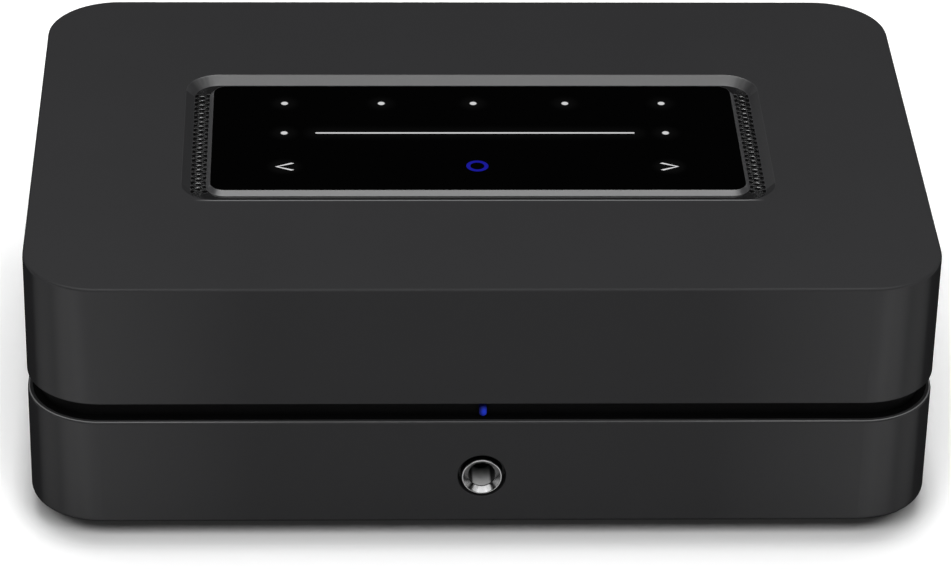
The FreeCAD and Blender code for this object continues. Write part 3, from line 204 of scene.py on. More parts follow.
def piece(name, shapes, finish, slot, *replaced, body="amplifier", crease=32):
    """One piece made of placed shapes, riding on a body and standing for nodes of the frame."""
    whole = bmesh.new()
    for shape, place in shapes:
        part = bpy.data.meshes.new(name)
        shape.to_mesh(part)
        part.transform(place)
        whole.from_mesh(part)
        bpy.data.meshes.remove(part)
    mesh = bpy.data.meshes.new(name)
    whole.to_mesh(mesh)
    whole.free()
    mesh.polygons.foreach_set("use_smooth", [True] * len(mesh.polygons))
    mesh.set_sharp_from_angle(angle=math.radians(crease))
    mesh.materials.append(finish)
    made = bpy.data.objects.new(name, mesh)
    bpy.context.scene.collection.objects.link(made)
    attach(made, body)
    if replaced:
        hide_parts(*replaced)


foot_rubber = surface(
    "foot rubber", (0.018, 0.018, 0.019), (0.028, 0.028, 0.028), (0.05, 0.05, 0.05),
    grain=0.0003, depth=0.00006, rough=0.75, spread=0.12, edge=0.0006,
)
foot_radius = 0.009
foot_rim = 0.0008
foot_dish = 0.0004
foot_ribs = 4
rib_pitch = 0.0013
foot_inner = foot_radius - foot_rim
rib_outer = foot_inner - 0.0006
foot_shapes = []
for low, high in boxes_of("feet"):
    foot_outline = [(0, high.z), (foot_radius, high.z), (foot_radius, foot_rim)]
    foot_outline += bend((foot_radius, foot_rim), (foot_inner, 0), (foot_inner, foot_rim))
    for rib in range(foot_ribs):
        outer = rib_outer - rib * rib_pitch
        foot_outline += [(outer, 0), (outer - 0.0002, foot_dish)]
        foot_outline += [(outer - 0.0005, foot_dish), (outer - 0.0007, 0)]
    foot_outline += [(rib_outer - foot_ribs * rib_pitch, 0), (0, 0)]
    foot_place = Matrix.Translation(((low.x + high.x) / 2, (low.y + high.y) / 2, 0))
    foot_shapes.append((turned(foot_outline, 96), foot_place))
piece("rubber_feet", foot_shapes, foot_rubber, "foot_rubber", "feet")


# Lower case
# A deep tray of cast aluminium, blasted to an even matt surface and anodised dark grey.
# Its flat rim carries the mid frame, and the floor is cut with two rows of vent slots.
def dress(finish, *names):
    """Gives nodes of the frame a finish."""
    for name in names:
        nodes[name].material_slots[0].material = finish


def axis_of(finish, vector, axis):
    """One axis of a place or a slope."""
    return add_node(finish, "ShaderNodeSeparateXYZ", {"Vector": vector}).outputs[axis]


def satin(finish, stops, calm, full, gain):
    """Gloss that changes with the angle of view, as on blasted metal. Aslant it rises to both ends."""
    sideways = step(finish, "ABSOLUTE", axis_of(finish, on_piece(finish), "X"))
    facing = add_node(finish, "ShaderNodeLayerWeight", {"Blend": 0.5}).outputs["Facing"]
    fall = add_node(finish, "ShaderNodeValToRGB", {"Fac": facing})
    fall.color_ramp.interpolation = "EASE"
    while len(fall.color_ramp.elements) < len(stops):
        fall.color_ramp.elements.new(0.5)
    for stop, (angle, level) in zip(fall.color_ramp.elements, stops):
        stop.position = angle
        stop.color = (level, level, level, 1)
    ends = spread_over(finish, sideways, calm, full)
    aslant = spread_over(finish, facing, 0.1, 0.13)
    rise = spread_over(finish, step(finish, "MULTIPLY", ends, aslant), 0, 1, 1.0, gain)
    gloss = step(finish, "MULTIPLY", fall.outputs["Color"], rise)
    gloss.node.name = "satin gloss"
    to_shader(finish, {"Specular IOR Level": gloss})


casing_metal = surface(
    "casing metal", (0.0245, 0.0245, 0.0254), (0.0269, 0.0269, 0.0281), (0.05, 0.05, 0.052),
    grain=0.00025, depth=0.000006, rough=0.38, spread=0.03, cloud=0.03, edge=0.0003,
)
# Each pair is an angle of view, 0 when it is faced, and the gloss there.
casing_gloss = [(0.0, 0.1), (0.09, 0.09), (0.12, 0.05), (0.155, 0.05)]
casing_gloss += [(0.2, 0.07), (0.24, 0.06), (0.36, 0.02), (0.62, 0.0)]
satin(casing_metal, casing_gloss, calm=0.055, full=0.095, gain=3.0)


def recolour(finish, share, colour):
    """Blends the colour of a finish into another one."""
    plain = finish.node_tree.nodes["rubbed colour"].outputs["Result"]
    to_shader(finish, {"Base Color": blend(finish, share, plain, (*colour, 1))})


tray_metal = casing_metal.copy()
tray_metal.name = "tray metal"
tray_rim = 0.0339
rim_slope = 0.9
slope_span = 0.098
tray_place = on_piece(tray_metal)
tray_slope = add_node(tray_metal, "ShaderNodeNewGeometry").outputs["Normal"]
tray_side = step(tray_metal, "ABSOLUTE", axis_of(tray_metal, tray_place, "X"))
# Painted highlight: the rounded outer edge of the rim is painted light grey, more so towards the ends, in
# place of the lamps' glint on it.
on_rim = step(tray_metal, "GREATER_THAN", axis_of(tray_metal, tray_place, "Z"), tray_rim - 0.001)
rounded_part = step(tray_metal, "COMPARE", axis_of(tray_metal, tray_slope, "Z"), rim_slope, slope_span)
rim_painted_highlight = step(tray_metal, "MULTIPLY", on_rim, rounded_part)
highlight_towards_ends = spread_over(tray_metal, tray_side, 0.04, 0.075, 0.5, 1.0)
recolour(tray_metal, step(tray_metal, "MULTIPLY", rim_painted_highlight, highlight_towards_ends), (0.19, 0.19, 0.193))
dress(tray_metal, "lower_case")


# Insulating sheet
# A sheet of smoked polycarbonate film, cut to go round the bosses and vents.
# It lies on the floor of the case and keeps the mains side of the power board off the metal.
sheet_film = surface(
    "insulating film", (0.11, 0.1, 0.085), (0.14, 0.125, 0.1), (0.2, 0.19, 0.16),
    grain=0.0006, rough=0.3,
)
dress(sheet_film, "insulating_sheet")


# Circuit boards
# Glass-fibre boards under a dark green lacquer, with copper tracks that show through as paler lines.
# Screws hold the large ones on the bosses of the tray, with their parts soldered on top.
band_scale = 0.314
patch_tracks = 14


def board_finish(name, lacquer, track, pitch):
    """Lacquered board whose tracks run across in some patches and lengthwise in others."""
    worn = (0.25, 0.22, 0.12)
    made = surface(name, lacquer, lacquer, worn, rough=0.32, depth=0.000008, spread=0.06, edge=0.0002)
    place = on_piece(made)
    runs = []
    for direction in ("X", "Y"):
        run = add_node(made, "ShaderNodeTexWave", {"Vector": place, "Scale": band_scale / pitch})
        run.bands_direction = direction
        runs.append(run.outputs["Fac"])
    patches = add_node(made, "ShaderNodeTexVoronoi", {"Vector": place, "Scale": 1 / (pitch * patch_tracks)})
    which = add_node(made, "ShaderNodeSeparateColor", {"Color": patches.outputs["Color"]})
    lengthwise = step(made, "GREATER_THAN", which.outputs["Red"], 0.5)
    bare = step(made, "GREATER_THAN", which.outputs["Green"], 0.35)
    chosen = add_node(made, "ShaderNodeMix", {"Factor": lengthwise, "A": runs[0], "B": runs[1]})
    thin = spread_over(made, chosen.outputs["Result"], 0.55, 0.7)
    recolour(made, step(made, "MULTIPLY", thin, bare), track)
    return made


main_lacquer = board_finish("board lacquer", (0.006, 0.03, 0.014), (0.02, 0.075, 0.03), 0.0012)
small_lacquer = board_finish("small board lacquer", (0.007, 0.009, 0.012), (0.03, 0.035, 0.04), 0.0008)
dress(main_lacquer, "power_board", "main_board", "speaker_output_board")
dress(small_lacquer, "headphone_board", "indicator_board", "touch_board")


# Board screws
# Zinc-plated steel machine screws with a rounded pan head and a cross recess.
# The larger ones hold the boards on their bosses, the smaller ones the heat sink and the touch panel.
def cross(length, width):
    """Outline of a cross recess round the turn."""

    def reach(turn):
        along = max(abs(math.cos(turn)), abs(math.sin(turn)))
        across = max(min(abs(math.cos(turn)), abs(math.sin(turn))), 1e-6)
        return min(length / along, width / across)

    return reach


def screw(shank, length, head, height):
    """Screw with its head on top, the underside of the head at height 0."""
    pitch = 0.0006
    drive = cross(head * 0.55, head * 0.13)
    rise = min(height * 0.6, head * 0.5)
    rows = [(0, -length), (shank * 0.7, -length), (shank, -length + shank * 0.5)]
    turns = int((length - shank * 0.5) / pitch)
    for number in range(turns):
        base = -length + shank * 0.5 + number * pitch
        rows += [(shank * 0.86, base + pitch * 0.45), (shank, base + pitch * 0.9)]
    rows += [(shank, 0), (head, 0), (head, height - rise)]
    rows += bend((head, height - rise), (head - rise, height), (head - rise, height - rise))
    rows += [(drive, height), (lambda turn: drive(turn) * 0.8, height * 0.45), (0, height * 0.4)]
    return turned(rows, 48)


screw_zinc = surface(
    "screw zinc", (0.42, 0.42, 0.43), (0.5, 0.49, 0.47), (0.62, 0.62, 0.62),
    depth=0.000006, rough=0.3, metal=1.0,
)


def seat_screws(name, node, shank, head, height, from_below):
    """Screws in place of those in the frame. Above a level they are driven from below."""
    shapes = []
    for low, high in boxes_of(node):
        length = high.z - low.z - height
        middle = Vector(((low.x + high.x) / 2, (low.y + high.y) / 2, high.z - height))
        place = Matrix.Translation(middle)
        if low.z > from_below:
            middle.z = low.z + height
            place = Matrix.Translation(middle) @ Matrix.Rotation(math.pi, 4, "X")
        shapes.append((screw(shank, length, head, height), place))
    piece(name, shapes, screw_zinc, "screw_steel", node)


seat_screws("board_screws", "inner_screws", shank=0.0015, head=0.00275, height=0.002, from_below=0.03)
seat_screws("fine_screws", "small_screws", shank=0.0011, head=0.002, height=0.0012, from_below=0.0)


# Processor, radio shield and board link
# A flat black chip package and a pressed can of tinned steel over the radio, soldered to the main board.
# A black plug connector bridges the gap between the two large boards.
chip_black = surface(
    "chip moulding", (0.012, 0.012, 0.013), (0.017, 0.017, 0.018), (0.04, 0.04, 0.04),
    grain=0.0002, rough=0.6, edge=0.0002, shine=0.4,
)
tinned_steel = surface(
    "tinned steel", (0.5, 0.5, 0.49), (0.6, 0.6, 0.58), (0.75, 0.75, 0.73),
    grain=0.0008, rough=0.28, edge=0.0002, metal=1.0, drawn=(1, 0.12, 1),
)
black_moulding = surface(
    "black moulding", (0.011, 0.011, 0.0115), (0.015, 0.015, 0.0155), (0.035, 0.035, 0.035),
    grain=0.0003, depth=0.00002, rough=0.5, shine=0.4, rounded=True,
)
dress(chip_black, "processor_chip", "amplifier_chips")
dress(tinned_steel, "radio_shield")
dress(black_moulding, "board_link")


# Mains transformer and output coils
# A stack of thin steel plates over a taped winding on a moulded bobbin, and four coils shut in ferrite.
# They stand on the power board, on pins soldered through it.
core_plates = surface(
    "core plates", (0.05, 0.045, 0.04), (0.09, 0.08, 0.07), (0.25, 0.24, 0.23),
    grain=0.0007, depth=0.00008, rough=0.45, spread=0.1, metal=0.6, drawn=(0.05, 1, 0.05),
)
ferrite = surface(
    "ferrite", (0.018, 0.018, 0.02), (0.03, 0.03, 0.032), (0.08, 0.08, 0.085),
    grain=0.0002, depth=0.00002, rough=0.7, rounded=True,
)
winding_tape = surface(
    "winding tape", (0.5, 0.3, 0.03), (0.58, 0.36, 0.05), (0.65, 0.45, 0.12),
    grain=0.0012, depth=0.00005, rough=0.35,
)
core_low, core_high = boxes_of("mains_transformer")[0]
core_middle = (core_low + core_high) / 2
core_share = 0.5
coil_half_width = 0.008
coil_half_depth = (core_high.y - core_low.y) / 2
coil_top = core_high.z - 0.004
plate_count = 18
plate_gap = 0.00006
plate_pitch = 2 * coil_half_depth * core_share / plate_count
arch_left = core_middle.x - coil_half_width
arch_right = core_middle.x + coil_half_width
arch = [(core_low.x, core_low.z), (arch_left, core_low.z), (arch_left, coil_top), (arch_right, coil_top)]
arch += [(arch_right, core_low.z), (core_high.x, core_low.z)]
arch += [(core_high.x, core_high.z), (core_low.x, core_high.z)]


def lofted(rings):
    """Mesh that joins rings of points one after the other, shut at both ends."""
    shape = bmesh.new()
    rows = [[shape.verts.new(point) for point in ring] for ring in rings]
    for near, far in zip(rows, rows[1:]):
        for number in range(len(near)):
            after = (number + 1) % len(near)
            shape.faces.new((near[number], near[after], far[after], far[number]))
    shape.faces.new(rows[0])
    shape.faces.new(rows[-1])
    bmesh.ops.recalc_face_normals(shape, faces=shape.faces)
    return shape


def plate(front):
    """One steel plate, an arch over the winding."""
    return lofted([[(x, y, z) for x, z in arch] for y in (front, front + plate_pitch - plate_gap)])


def coil_outline(tuck):
    """Outline round the bobbin, a rectangle with soft corners, drawn in by a tuck."""

    def reach(turn):
        across = abs(math.cos(turn)) / coil_half_width
        along = abs(math.sin(turn)) / coil_half_depth
        return (across**6 + along**6) ** (-1 / 6) - tuck

    return reach


stack_start = core_middle.y - coil_half_depth * core_share
plates = [(plate(stack_start + number * plate_pitch), Matrix.Identity(4)) for number in range(plate_count)]
piece("transformer_plates", plates, core_plates, "core_metal", "mains_transformer")
flange = 0.001
lap_count = 4
lap_height = (coil_top - core_low.z - 2 * flange) / lap_count
coil_place = Matrix.Translation((core_middle.x, core_middle.y, 0))
laps = [(0, core_low.z + flange)]
for number in range(lap_count):
    lap_low = core_low.z + flange + number * lap_height
    laps += [(coil_outline(0.0009), lap_low + 0.00002), (coil_outline(0.0007), lap_low + 0.0002)]
    laps += [(coil_outline(0.0006), lap_low + lap_height - 0.0001)]
laps += [(coil_outline(0.0009), coil_top - flange), (0, coil_top - flange)]
winding = [(turned(laps, 120), coil_place)]
piece("transformer_winding", winding, winding_tape, "core_metal", "mains_transformer")
flanges = []
for base in (core_low.z, coil_top - flange):
    rows = [(0, base), (coil_outline(0.0002), base), (coil_outline(0), base + 0.0002)]
    rows += [(coil_outline(0), base + flange - 0.0002)]
    rows += [(coil_outline(0.0002), base + flange), (0, base + flange)]
    flanges.append((turned(rows, 120), coil_place))
piece("transformer_bobbin", flanges, black_moulding, "black_moulding", "mains_transformer")
dress(ferrite, "output_inductors")


# Mains filter choke
# Two windings of lacquered copper wire, one on each half of a round ferrite core.
# It stands flat on the power board with its wire ends soldered.
wire_copper = surface(
    "lacquered copper", (0.45, 0.14, 0.05), (0.55, 0.18, 0.06), (0.7, 0.3, 0.14),
    grain=0.0006, rough=0.25, spread=0.06, edge=0.0001, metal=1.0,
)
choke_low, choke_high = boxes_of("mains_filter_choke")[0]
choke_middle = (choke_low + choke_high) / 2
choke_outer = (choke_high.x - choke_low.x) / 2
choke_inner = 0.0035
choke_half_height = (choke_high.z - choke_low.z) / 2
wire_radius = 0.00055
wire_sides = 8
wire_points = 28
winding_turns = 13
winding_arc = math.radians(150)
squareness = 0.45


def wound_half(start_turn):
    """Wire wound round one half of the ring core."""
    middle = (choke_outer + choke_inner) / 2
    half_width = (choke_outer - choke_inner) / 2 - wire_radius
    half_height = choke_half_height - wire_radius
    points = []
    for number in range(winding_turns * wire_points + 1):
        along = number / wire_points
        around = start_turn + winding_arc * along / winding_turns
        slope = 2 * math.pi * along
        out = math.copysign(abs(math.cos(slope)) ** squareness, math.cos(slope))
        up = math.copysign(abs(math.sin(slope)) ** squareness, math.sin(slope))
        reach = middle + half_width * out
        points.append(Vector((reach * math.cos(around), reach * math.sin(around), half_height * up)))
    turns = [2 * math.pi * side / wire_sides for side in range(wire_sides)]
    rings = []
    for before, point, after in zip(points[:1] + points, points, points[1:] + points[-1:]):
        forward = (after - before).normalized()
        aside = forward.cross(Vector((point.x, point.y, 0))).normalized()
        above = aside.cross(forward).normalized()
        arms = [(aside * math.cos(turn) + above * math.sin(turn)) * wire_radius for turn in turns]
        rings.append([point + arm for arm in arms])
    return lofted(rings)


choke_place = Matrix.Translation(choke_middle)
windings = [(wound_half(math.radians(start)), choke_place) for start in (15, 195)]
piece("choke_windings", windings, wire_copper, "core_metal", "mains_filter_choke")
core_gap = 2.2 * wire_radius
near, far = choke_inner + core_gap, choke_outer - core_gap
core_half = choke_half_height - core_gap
core_outline = [(near, -core_half), (far, -core_half), (far, core_half), (near, core_half)]
core_ring = [(turned(core_outline, 72, closed=True), choke_place)]
piece("choke_core", core_ring, ferrite, "core_metal", "mains_filter_choke")


# Reservoir capacitors
# Drawn aluminium cans in a shrunk black sleeve, with a groove rolled round the foot.
# The bare top is scored with a cross, so that it opens there if the can ever fails.
can_sleeve = surface(
    "can sleeve", (0.012, 0.012, 0.014), (0.018, 0.018, 0.02), (0.05, 0.05, 0.05),
    grain=0.0006, rough=0.3, spread=0.05,
)
can_metal = surface(
    "can metal", (0.62, 0.62, 0.63), (0.7, 0.7, 0.7), (0.8, 0.8, 0.8),
    grain=0.0005, depth=0.000008, rough=0.3, metal=1.0,
)
groove_depth = 0.0006
can_round = 0.0008
sleeve_fold = 0.0014
fold_height = 0.0004
sleeves = []
lids = []
for low, high in boxes_of("reservoir_capacitors"):
    radius = (high.x - low.x) / 2
    height = high.z - low.z
    place = Matrix.Translation(((low.x + high.x) / 2, (low.y + high.y) / 2, low.z))
    groove = radius - groove_depth
    shoulder, top = height - can_round, radius - can_round
    fold = radius - sleeve_fold
    sleeve = [(0, 0), (radius - 0.0005, 0), (radius, 0.0005), (radius, 0.0022), (groove, 0.003)]
    sleeve += [(groove, 0.0036), (radius, 0.0044), (radius, shoulder)]
    sleeve += bend((radius, shoulder), (top, height), (top, shoulder))
    sleeve += [(fold, height), (fold, height - fold_height), (0, height - fold_height)]
    sleeves.append((turned(sleeve, 96), place))
    lid_radius = radius - 0.0015
    scored = cross(lid_radius * 0.75, 0.0002)
    lid = [(lid_radius, height - 0.0003), (lid_radius - 0.0003, height), (scored, height)]
    lid += [(lambda turn, scored=scored: scored(turn) * 0.92, height - 0.0002), (0, height - 0.0002)]
    lids.append((turned(lid, 96), place))
piece("capacitor_sleeves", sleeves, can_sleeve, "can_metal", "reservoir_capacitors")
piece("capacitor_tops", lids, can_metal, "can_metal", "reservoir_capacitors")


# Heat sink
# One length of extruded aluminium with upright fins, anodised black, on four legs.
# Screws from under the power board draw it down on the soft pads over the amplifier chips.
sink_black = surface(
    "anodised sink", (0.025, 0.025, 0.027), (0.035, 0.035, 0.037), (0.3, 0.3, 0.31),
    depth=0.00002, rough=0.42, edge=0.0003, metal=0.7, drawn=(1, 0.04, 1),
)
pad_grey = surface(
    "pad rubber", (0.2, 0.21, 0.24), (0.25, 0.26, 0.29), (0.3, 0.3, 0.32),
    grain=0.0003, depth=0.00003, rough=0.8,
)
dress(sink_black, "heat_sink")
dress(pad_grey, "thermal_pads")


# Headphone socket
# A turned brass bush with bright plating and a dished mouth, screwed into a black moulded body.
# Three sprung leaves in the body bear on the plug, which goes in through the front of the case.
chrome = surface(
    "bright plating", (0.17, 0.17, 0.173), (0.22, 0.22, 0.22), (0.6, 0.6, 0.6),
    grain=0.0003, depth=0.000003, rough=0.2, spread=0.05, cloud=0.004, edge=0.0001, metal=1.0,
    drawn=(1, 3, 1),
)
to_rear = Matrix.Rotation(-math.pi / 2, 4, "X")
ring_low, ring_high = boxes_of("phone_socket_ring")[0]
phone_axis = Vector((0, ring_low.y, (ring_low.z + ring_high.z) / 2))
phone_place = Matrix.Translation(phone_axis) @ to_rear
ring_radius = (ring_high.x - ring_low.x) / 2
ring_lip = 0.0003
dish_radius = 0.0045
bore_radius = 0.0033
dish_depth = 0.0012
bore_end = ring_high.y - ring_low.y
ring_face = ring_radius - ring_lip
ring_outline = bend((ring_radius, ring_lip), (ring_face, 0), (ring_face, ring_lip))
ring_outline += [(dish_radius + 0.0002, 0.00002), (dish_radius + 0.00005, 0.00008)]
ring_outline += [(dish_radius, 0.00014), (bore_radius + 0.0001, dish_depth)]
ring_outline += [(bore_radius, dish_depth + 0.00015), (bore_radius, bore_end), (ring_radius, bore_end)]
lining_start = dish_depth + 0.0003
lining_inner = bore_radius - 0.00006
bore_outline = [(bore_radius, lining_start), (bore_radius, bore_end)]
bore_outline += [(lining_inner, bore_end), (lining_inner, lining_start)]
bore_metal = surface(
    "bored brass", (0.5, 0.5, 0.5), (0.56, 0.56, 0.56), (0.6, 0.6, 0.6),
    grain=0.0003, rough=0.6, spread=0.1, edge=0.0001, metal=0.3,
)
# Painted shade: the lining is painted near-black above its lowest part, where the bore lies in shade, and
# keeps its grey only on the floor.
floor_of_bore = phone_axis.z - bore_radius * math.cos(math.radians(42))
bore_height = axis_of(bore_metal, on_piece(bore_metal), "Z")
painted_shade_above_floor = spread_over(bore_metal, bore_height, floor_of_bore - 0.0002, floor_of_bore + 0.0002)
recolour(bore_metal, painted_shade_above_floor, (0.02, 0.02, 0.02))
lining = [(turned(bore_outline, 96, closed=True), phone_place)]
piece("headphone_bore", lining, bore_metal, "chrome_plate", "phone_socket_ring")
bush = [(turned(ring_outline, 128, closed=True), phone_place)]
piece("headphone_bush", bush, chrome, "chrome_plate", "phone_socket_ring", crease=40)

leaf_metal = surface(
    "sprung bronze", (0.55, 0.52, 0.45), (0.65, 0.6, 0.52), (0.8, 0.78, 0.7),
    grain=0.0003, depth=0.000004, rough=0.25, spread=0.05, edge=0.0001, metal=1.0,
)
leaf_width = 0.0016
leaf_thickness = 0.0004
leaf_length = 0.012
leaf_start = bore_end + 0.002
leaf_seat = 0.0037
leaf_swell = 0.0012
leaf_steps = 24


def sprung_leaf():
    """Leaf that swells towards the plug, along +Y, above the axis."""
    half = leaf_width / 2
    rings = []
    for number in range(leaf_steps + 1):
        along = number / leaf_steps
        y = leaf_start + along * leaf_length
        low = leaf_seat - leaf_swell * math.sin(math.pi * along) ** 3
        high = low + leaf_thickness
        rings.append([(-half, y, low), (half, y, low), (half, y, high), (-half, y, high)])
    return lofted(rings)


leaves = [
    (sprung_leaf(), Matrix.Translation(phone_axis) @ Matrix.Rotation(math.radians(turn), 4, "Y"))
    for turn in (0, 120, 240)
]
piece("socket_leaves", leaves, leaf_metal, "contact_brass", "phone_socket_contacts")
dress(black_moulding, "phone_socket_body")


# Rear panel
# A flat steel plate with a baked black finish, punched out for every socket.
# Four screws hold it against brackets inside the window in the back of the case.
panel_black = surface(
    "baked black", (0.014, 0.014, 0.0145), (0.018, 0.018, 0.0185), (0.05, 0.05, 0.05),
    grain=0.0005, depth=0.00002, rough=0.5, shine=0.35, rounded=True,
)
screw_black = surface(
    "blackened steel", (0.03, 0.03, 0.032), (0.045, 0.045, 0.047), (0.2, 0.2, 0.2),
    depth=0.000008, rough=0.38, edge=0.00015, metal=0.8,
)
dress(panel_black, "rear_panel")


def facing_rear(low, high, start):
    """Place of a turned shape in the middle of a box, with its axis to the rear."""
    return Matrix.Translation(((low.x + high.x) / 2, start, (low.z + high.z) / 2)) @ to_rear


panel_head = 0.002
panel_head_height = 0.0012
panel_screws = []
for low, high in boxes_of("rear_panel_screws"):
    length = high.y - low.y - panel_head_height
    place = facing_rear(low, high, high.y - panel_head_height)
    panel_screws.append((screw(0.0015, length, panel_head, panel_head_height), place))
piece("panel_screws", panel_screws, screw_black, "screw_steel", "rear_panel_screws")


# Mains inlet
# A moulded socket with a deep well for the cord's connector, soldered to the power board.
# Its two pins are nickel-plated brass, with rounded tips.
pin_nickel = surface(
    "pin nickel", (0.62, 0.6, 0.56), (0.7, 0.68, 0.64), (0.85, 0.83, 0.8),
    depth=0.000005, rough=0.24, spread=0.06, edge=0.0001, metal=1.0,
)
dress(black_moulding, "mains_inlet")
pins = []
for low, high in boxes_of("mains_inlet_pins"):
    radius = (high.x - low.x) / 2
    length = high.y - low.y
    tip = radius * 0.8
    rows = [(0, 0), (radius, 0), (radius, length - tip)]
    rows += bend((radius, length - tip), (radius - tip, length), (radius - tip, length - tip), 6)
    rows += [(0, length)]
    pins.append((turned(rows, 48), facing_rear(low, high, low.y)))
piece("inlet_pins", pins, pin_nickel, "contact_brass", "mains_inlet_pins")


# Speaker terminals
# Four gilded brass studs run through a moulded black bar to a small board behind the panel.
# On each stud a steel washer and a fluted cap, red for plus and black for minus, clamp the wire.
terminals = ("right_minus", "right_plus", "left_minus", "left_plus")
gilding = surface(
    "gilded brass", (0.72, 0.48, 0.16), (0.8, 0.55, 0.2), (0.9, 0.68, 0.32),
    depth=0.000005, rough=0.25, spread=0.06, edge=0.0001, metal=1.0,
)
washer_nickel = surface(
    "washer nickel", (0.45, 0.44, 0.42), (0.55, 0.54, 0.52), (0.7, 0.7, 0.68),
    depth=0.000008, rough=0.3, spread=0.06, edge=0.00015, metal=1.0,
)
cap_black = surface(
    "black cap", (0.013, 0.013, 0.0135), (0.018, 0.018, 0.0185), (0.045, 0.045, 0.045),
    grain=0.0005, depth=0.000015, rough=0.36, spread=0.06, edge=0.0002,
)
cap_red = surface(
    "red cap", (0.32, 0.008, 0.008), (0.38, 0.012, 0.01), (0.5, 0.05, 0.04),
    grain=0.0005, depth=0.000015, rough=0.36, spread=0.06, edge=0.0002,
)
dress(black_moulding, "terminal_block")
dress(gilding, "terminal_studs")
washer_bore = 0.0033
cap_bore = 0.00306
cap_skirt = 0.0015
cap_nose = 0.003
cap_step = 0.001
flute_radius = 0.0005
flute_count = 20
rim = 0.0003


def fluted(base, radius):
    """Reach of a cap round the turn, with a groove at every flute."""

    def reach(turn):
        pitch = 2 * math.pi / flute_count
        off = (turn + pitch / 2) % pitch - pitch / 2
        cut = max(flute_radius**2 - (radius * off) ** 2, 0) ** 0.5
        return min(base, radius - cut)

    return reach


for terminal in terminals:
    node = "clamp_washer_" + terminal
    low, high = boxes_of(node)[0]
    radius = (high.x - low.x) / 2
    thickness = high.y - low.y
    rows = [(washer_bore, rim), (washer_bore + rim, 0), (radius - rim, 0), (radius, rim)]
    rows += [(radius, thickness - rim), (radius - rim, thickness), (washer_bore + 0.0012, thickness)]
    rows += [(washer_bore + 0.0009, thickness - 0.0001), (washer_bore, thickness - 0.0001)]
    disc = [(turned(rows, 96, closed=True), facing_rear(low, high, low.y))]
    piece("clamp_disc_" + terminal, disc, washer_nickel, "washer_steel", node, body="clamp_" + terminal)

    node = "terminal_knob_" + terminal
    low, high = boxes_of(node)[0]
    radius = (high.z - low.z) / 2
    length = high.y - low.y
    nose_start = length - cap_nose
    flute_end = nose_start + cap_skirt
    middle_radius = radius - cap_step * cap_skirt / cap_nose
    nose_radius = radius - cap_step
    grooved = fluted(radius, radius)
    nose_edge = (nose_radius + 0.00015, length - rim)
    rows = [(cap_bore + rim, 0), (radius - rim, 0)]
    rows += bend((radius - rim, 0), (radius, rim), (radius - rim, rim), 3)[1:]
    rows += [(radius, cap_skirt), (grooved, cap_skirt + 0.0001), (grooved, nose_start)]
    rows += [(fluted(middle_radius, radius), flute_end), (middle_radius, flute_end + 0.0001), nose_edge]
    rows += bend(nose_edge, (nose_radius - rim, length), (nose_radius - rim, length - rim), 4)[1:]
    rows += [(cap_bore + 0.0006, length), (cap_bore, length - 0.0006), (cap_bore, rim)]
    cap = [(turned(rows, 240, closed=True), facing_rear(low, high, low.y))]
    finish, slot = (cap_red, "red_cap") if terminal.endswith("plus") else (cap_black, "black_cap")
    piece("fluted_cap_" + terminal, cap, finish, slot, node, body="knob_" + terminal, crease=28)


# Signal sockets
# A shielded network socket, two flat sockets of folded tinned steel, two small jacks and a coaxial socket.
# All are soldered to the main board and reach out through the rear panel.
dress(tinned_steel, "network_socket", "usb_socket", "hdmi_socket")
dress(black_moulding, "port_tongues", "jack_sockets", "sub_out_insulator")
dress(gilding, "sub_out_socket")


def bar(low, high, edge):
    """Straight bar between two corners, with every edge bevelled."""
    shape = bmesh.new()
    bmesh.ops.create_cube(shape, size=1)
    size = high - low
    for point in shape.verts:
        point.co = low + Vector((size[axis] * (point.co[axis] + 0.5) for axis in range(3)))
    bmesh.ops.bevel(shape, geom=shape.edges[:], offset=edge, segments=2, affect="EDGES", profile=0.5)
    return shape


network_low, network_high = boxes_of("network_socket")[0]
network_middle = (network_low.x + network_high.x) / 2
spring_count = 8
spring_pitch = 0.00102
spring_width = 0.0004
spring_floor = network_low.z + 0.0022
spring_place = Matrix.Translation((0, 0, spring_floor + 0.0004))
springs = []
for number in range(spring_count):
    x = network_middle + (number - (spring_count - 1) / 2) * spring_pitch
    low = Vector((x - spring_width / 2, network_high.y - 0.0125, 0))
    high = Vector((x + spring_width / 2, network_high.y - 0.0035, 0.0003))
    springs.append((bar(low, high, 0.0001), spring_place))
piece("network_springs", springs, gilding, "contact_brass")

strips = []
contact_rows = ((4, 0.0012, 0.003), (9, 0.0005, 0.0016))
for (low, high), (count, width, margin) in zip(boxes_of("port_tongues"), contact_rows):
    pitch = (high.x - low.x - margin) / (count - 1)
    for number in range(count):
        x = (low.x + high.x) / 2 + (number - (count - 1) / 2) * pitch
        strip_low = Vector((x - width / 2, low.y + 0.001, low.z - 0.00015))
        strip_high = Vector((x + width / 2, high.y - 0.0006, low.z + 0.0001))
        strips.append((bar(strip_low, strip_high, 0.00005), Matrix.Identity(4)))
piece("tongue_contacts", strips, gilding, "contact_brass")


# Set-up button
# A small black plunger with a flange behind the rear panel that keeps it from falling out.
# It bears on a tiny switch on the main board, which also springs it back.
dress(cap_black, "setup_button")
dress(chip_black, "setup_switch")


# Mid frame, antennas and indicator
# A black moulded band that fills the groove between the halves of the case and lines up both.
# It carries two film antennas on its sides, and a clear blue light pipe at the front.
band_black = surface(
    "band moulding", (0.0012, 0.0012, 0.0013), (0.0018, 0.0018, 0.0019), (0.004, 0.004, 0.004),
    rough=0.6, shine=0.05,
)
film_copper = surface(
    "antenna film", (0.42, 0.2, 0.09), (0.5, 0.25, 0.12), (0.6, 0.35, 0.2),
    grain=0.0006, rough=0.35, metal=0.8,
)
dress(band_black, "mid_frame")
dress(film_copper, "antennas")

lens_blue = surface(
    "lit blue", (0.004, 0.006, 0.07), (0.005, 0.008, 0.09), (0.008, 0.012, 0.12),
    depth=0.000005, rough=0.25, spread=0.05, edge=0.0002, shine=0.04, rounded=True,
)


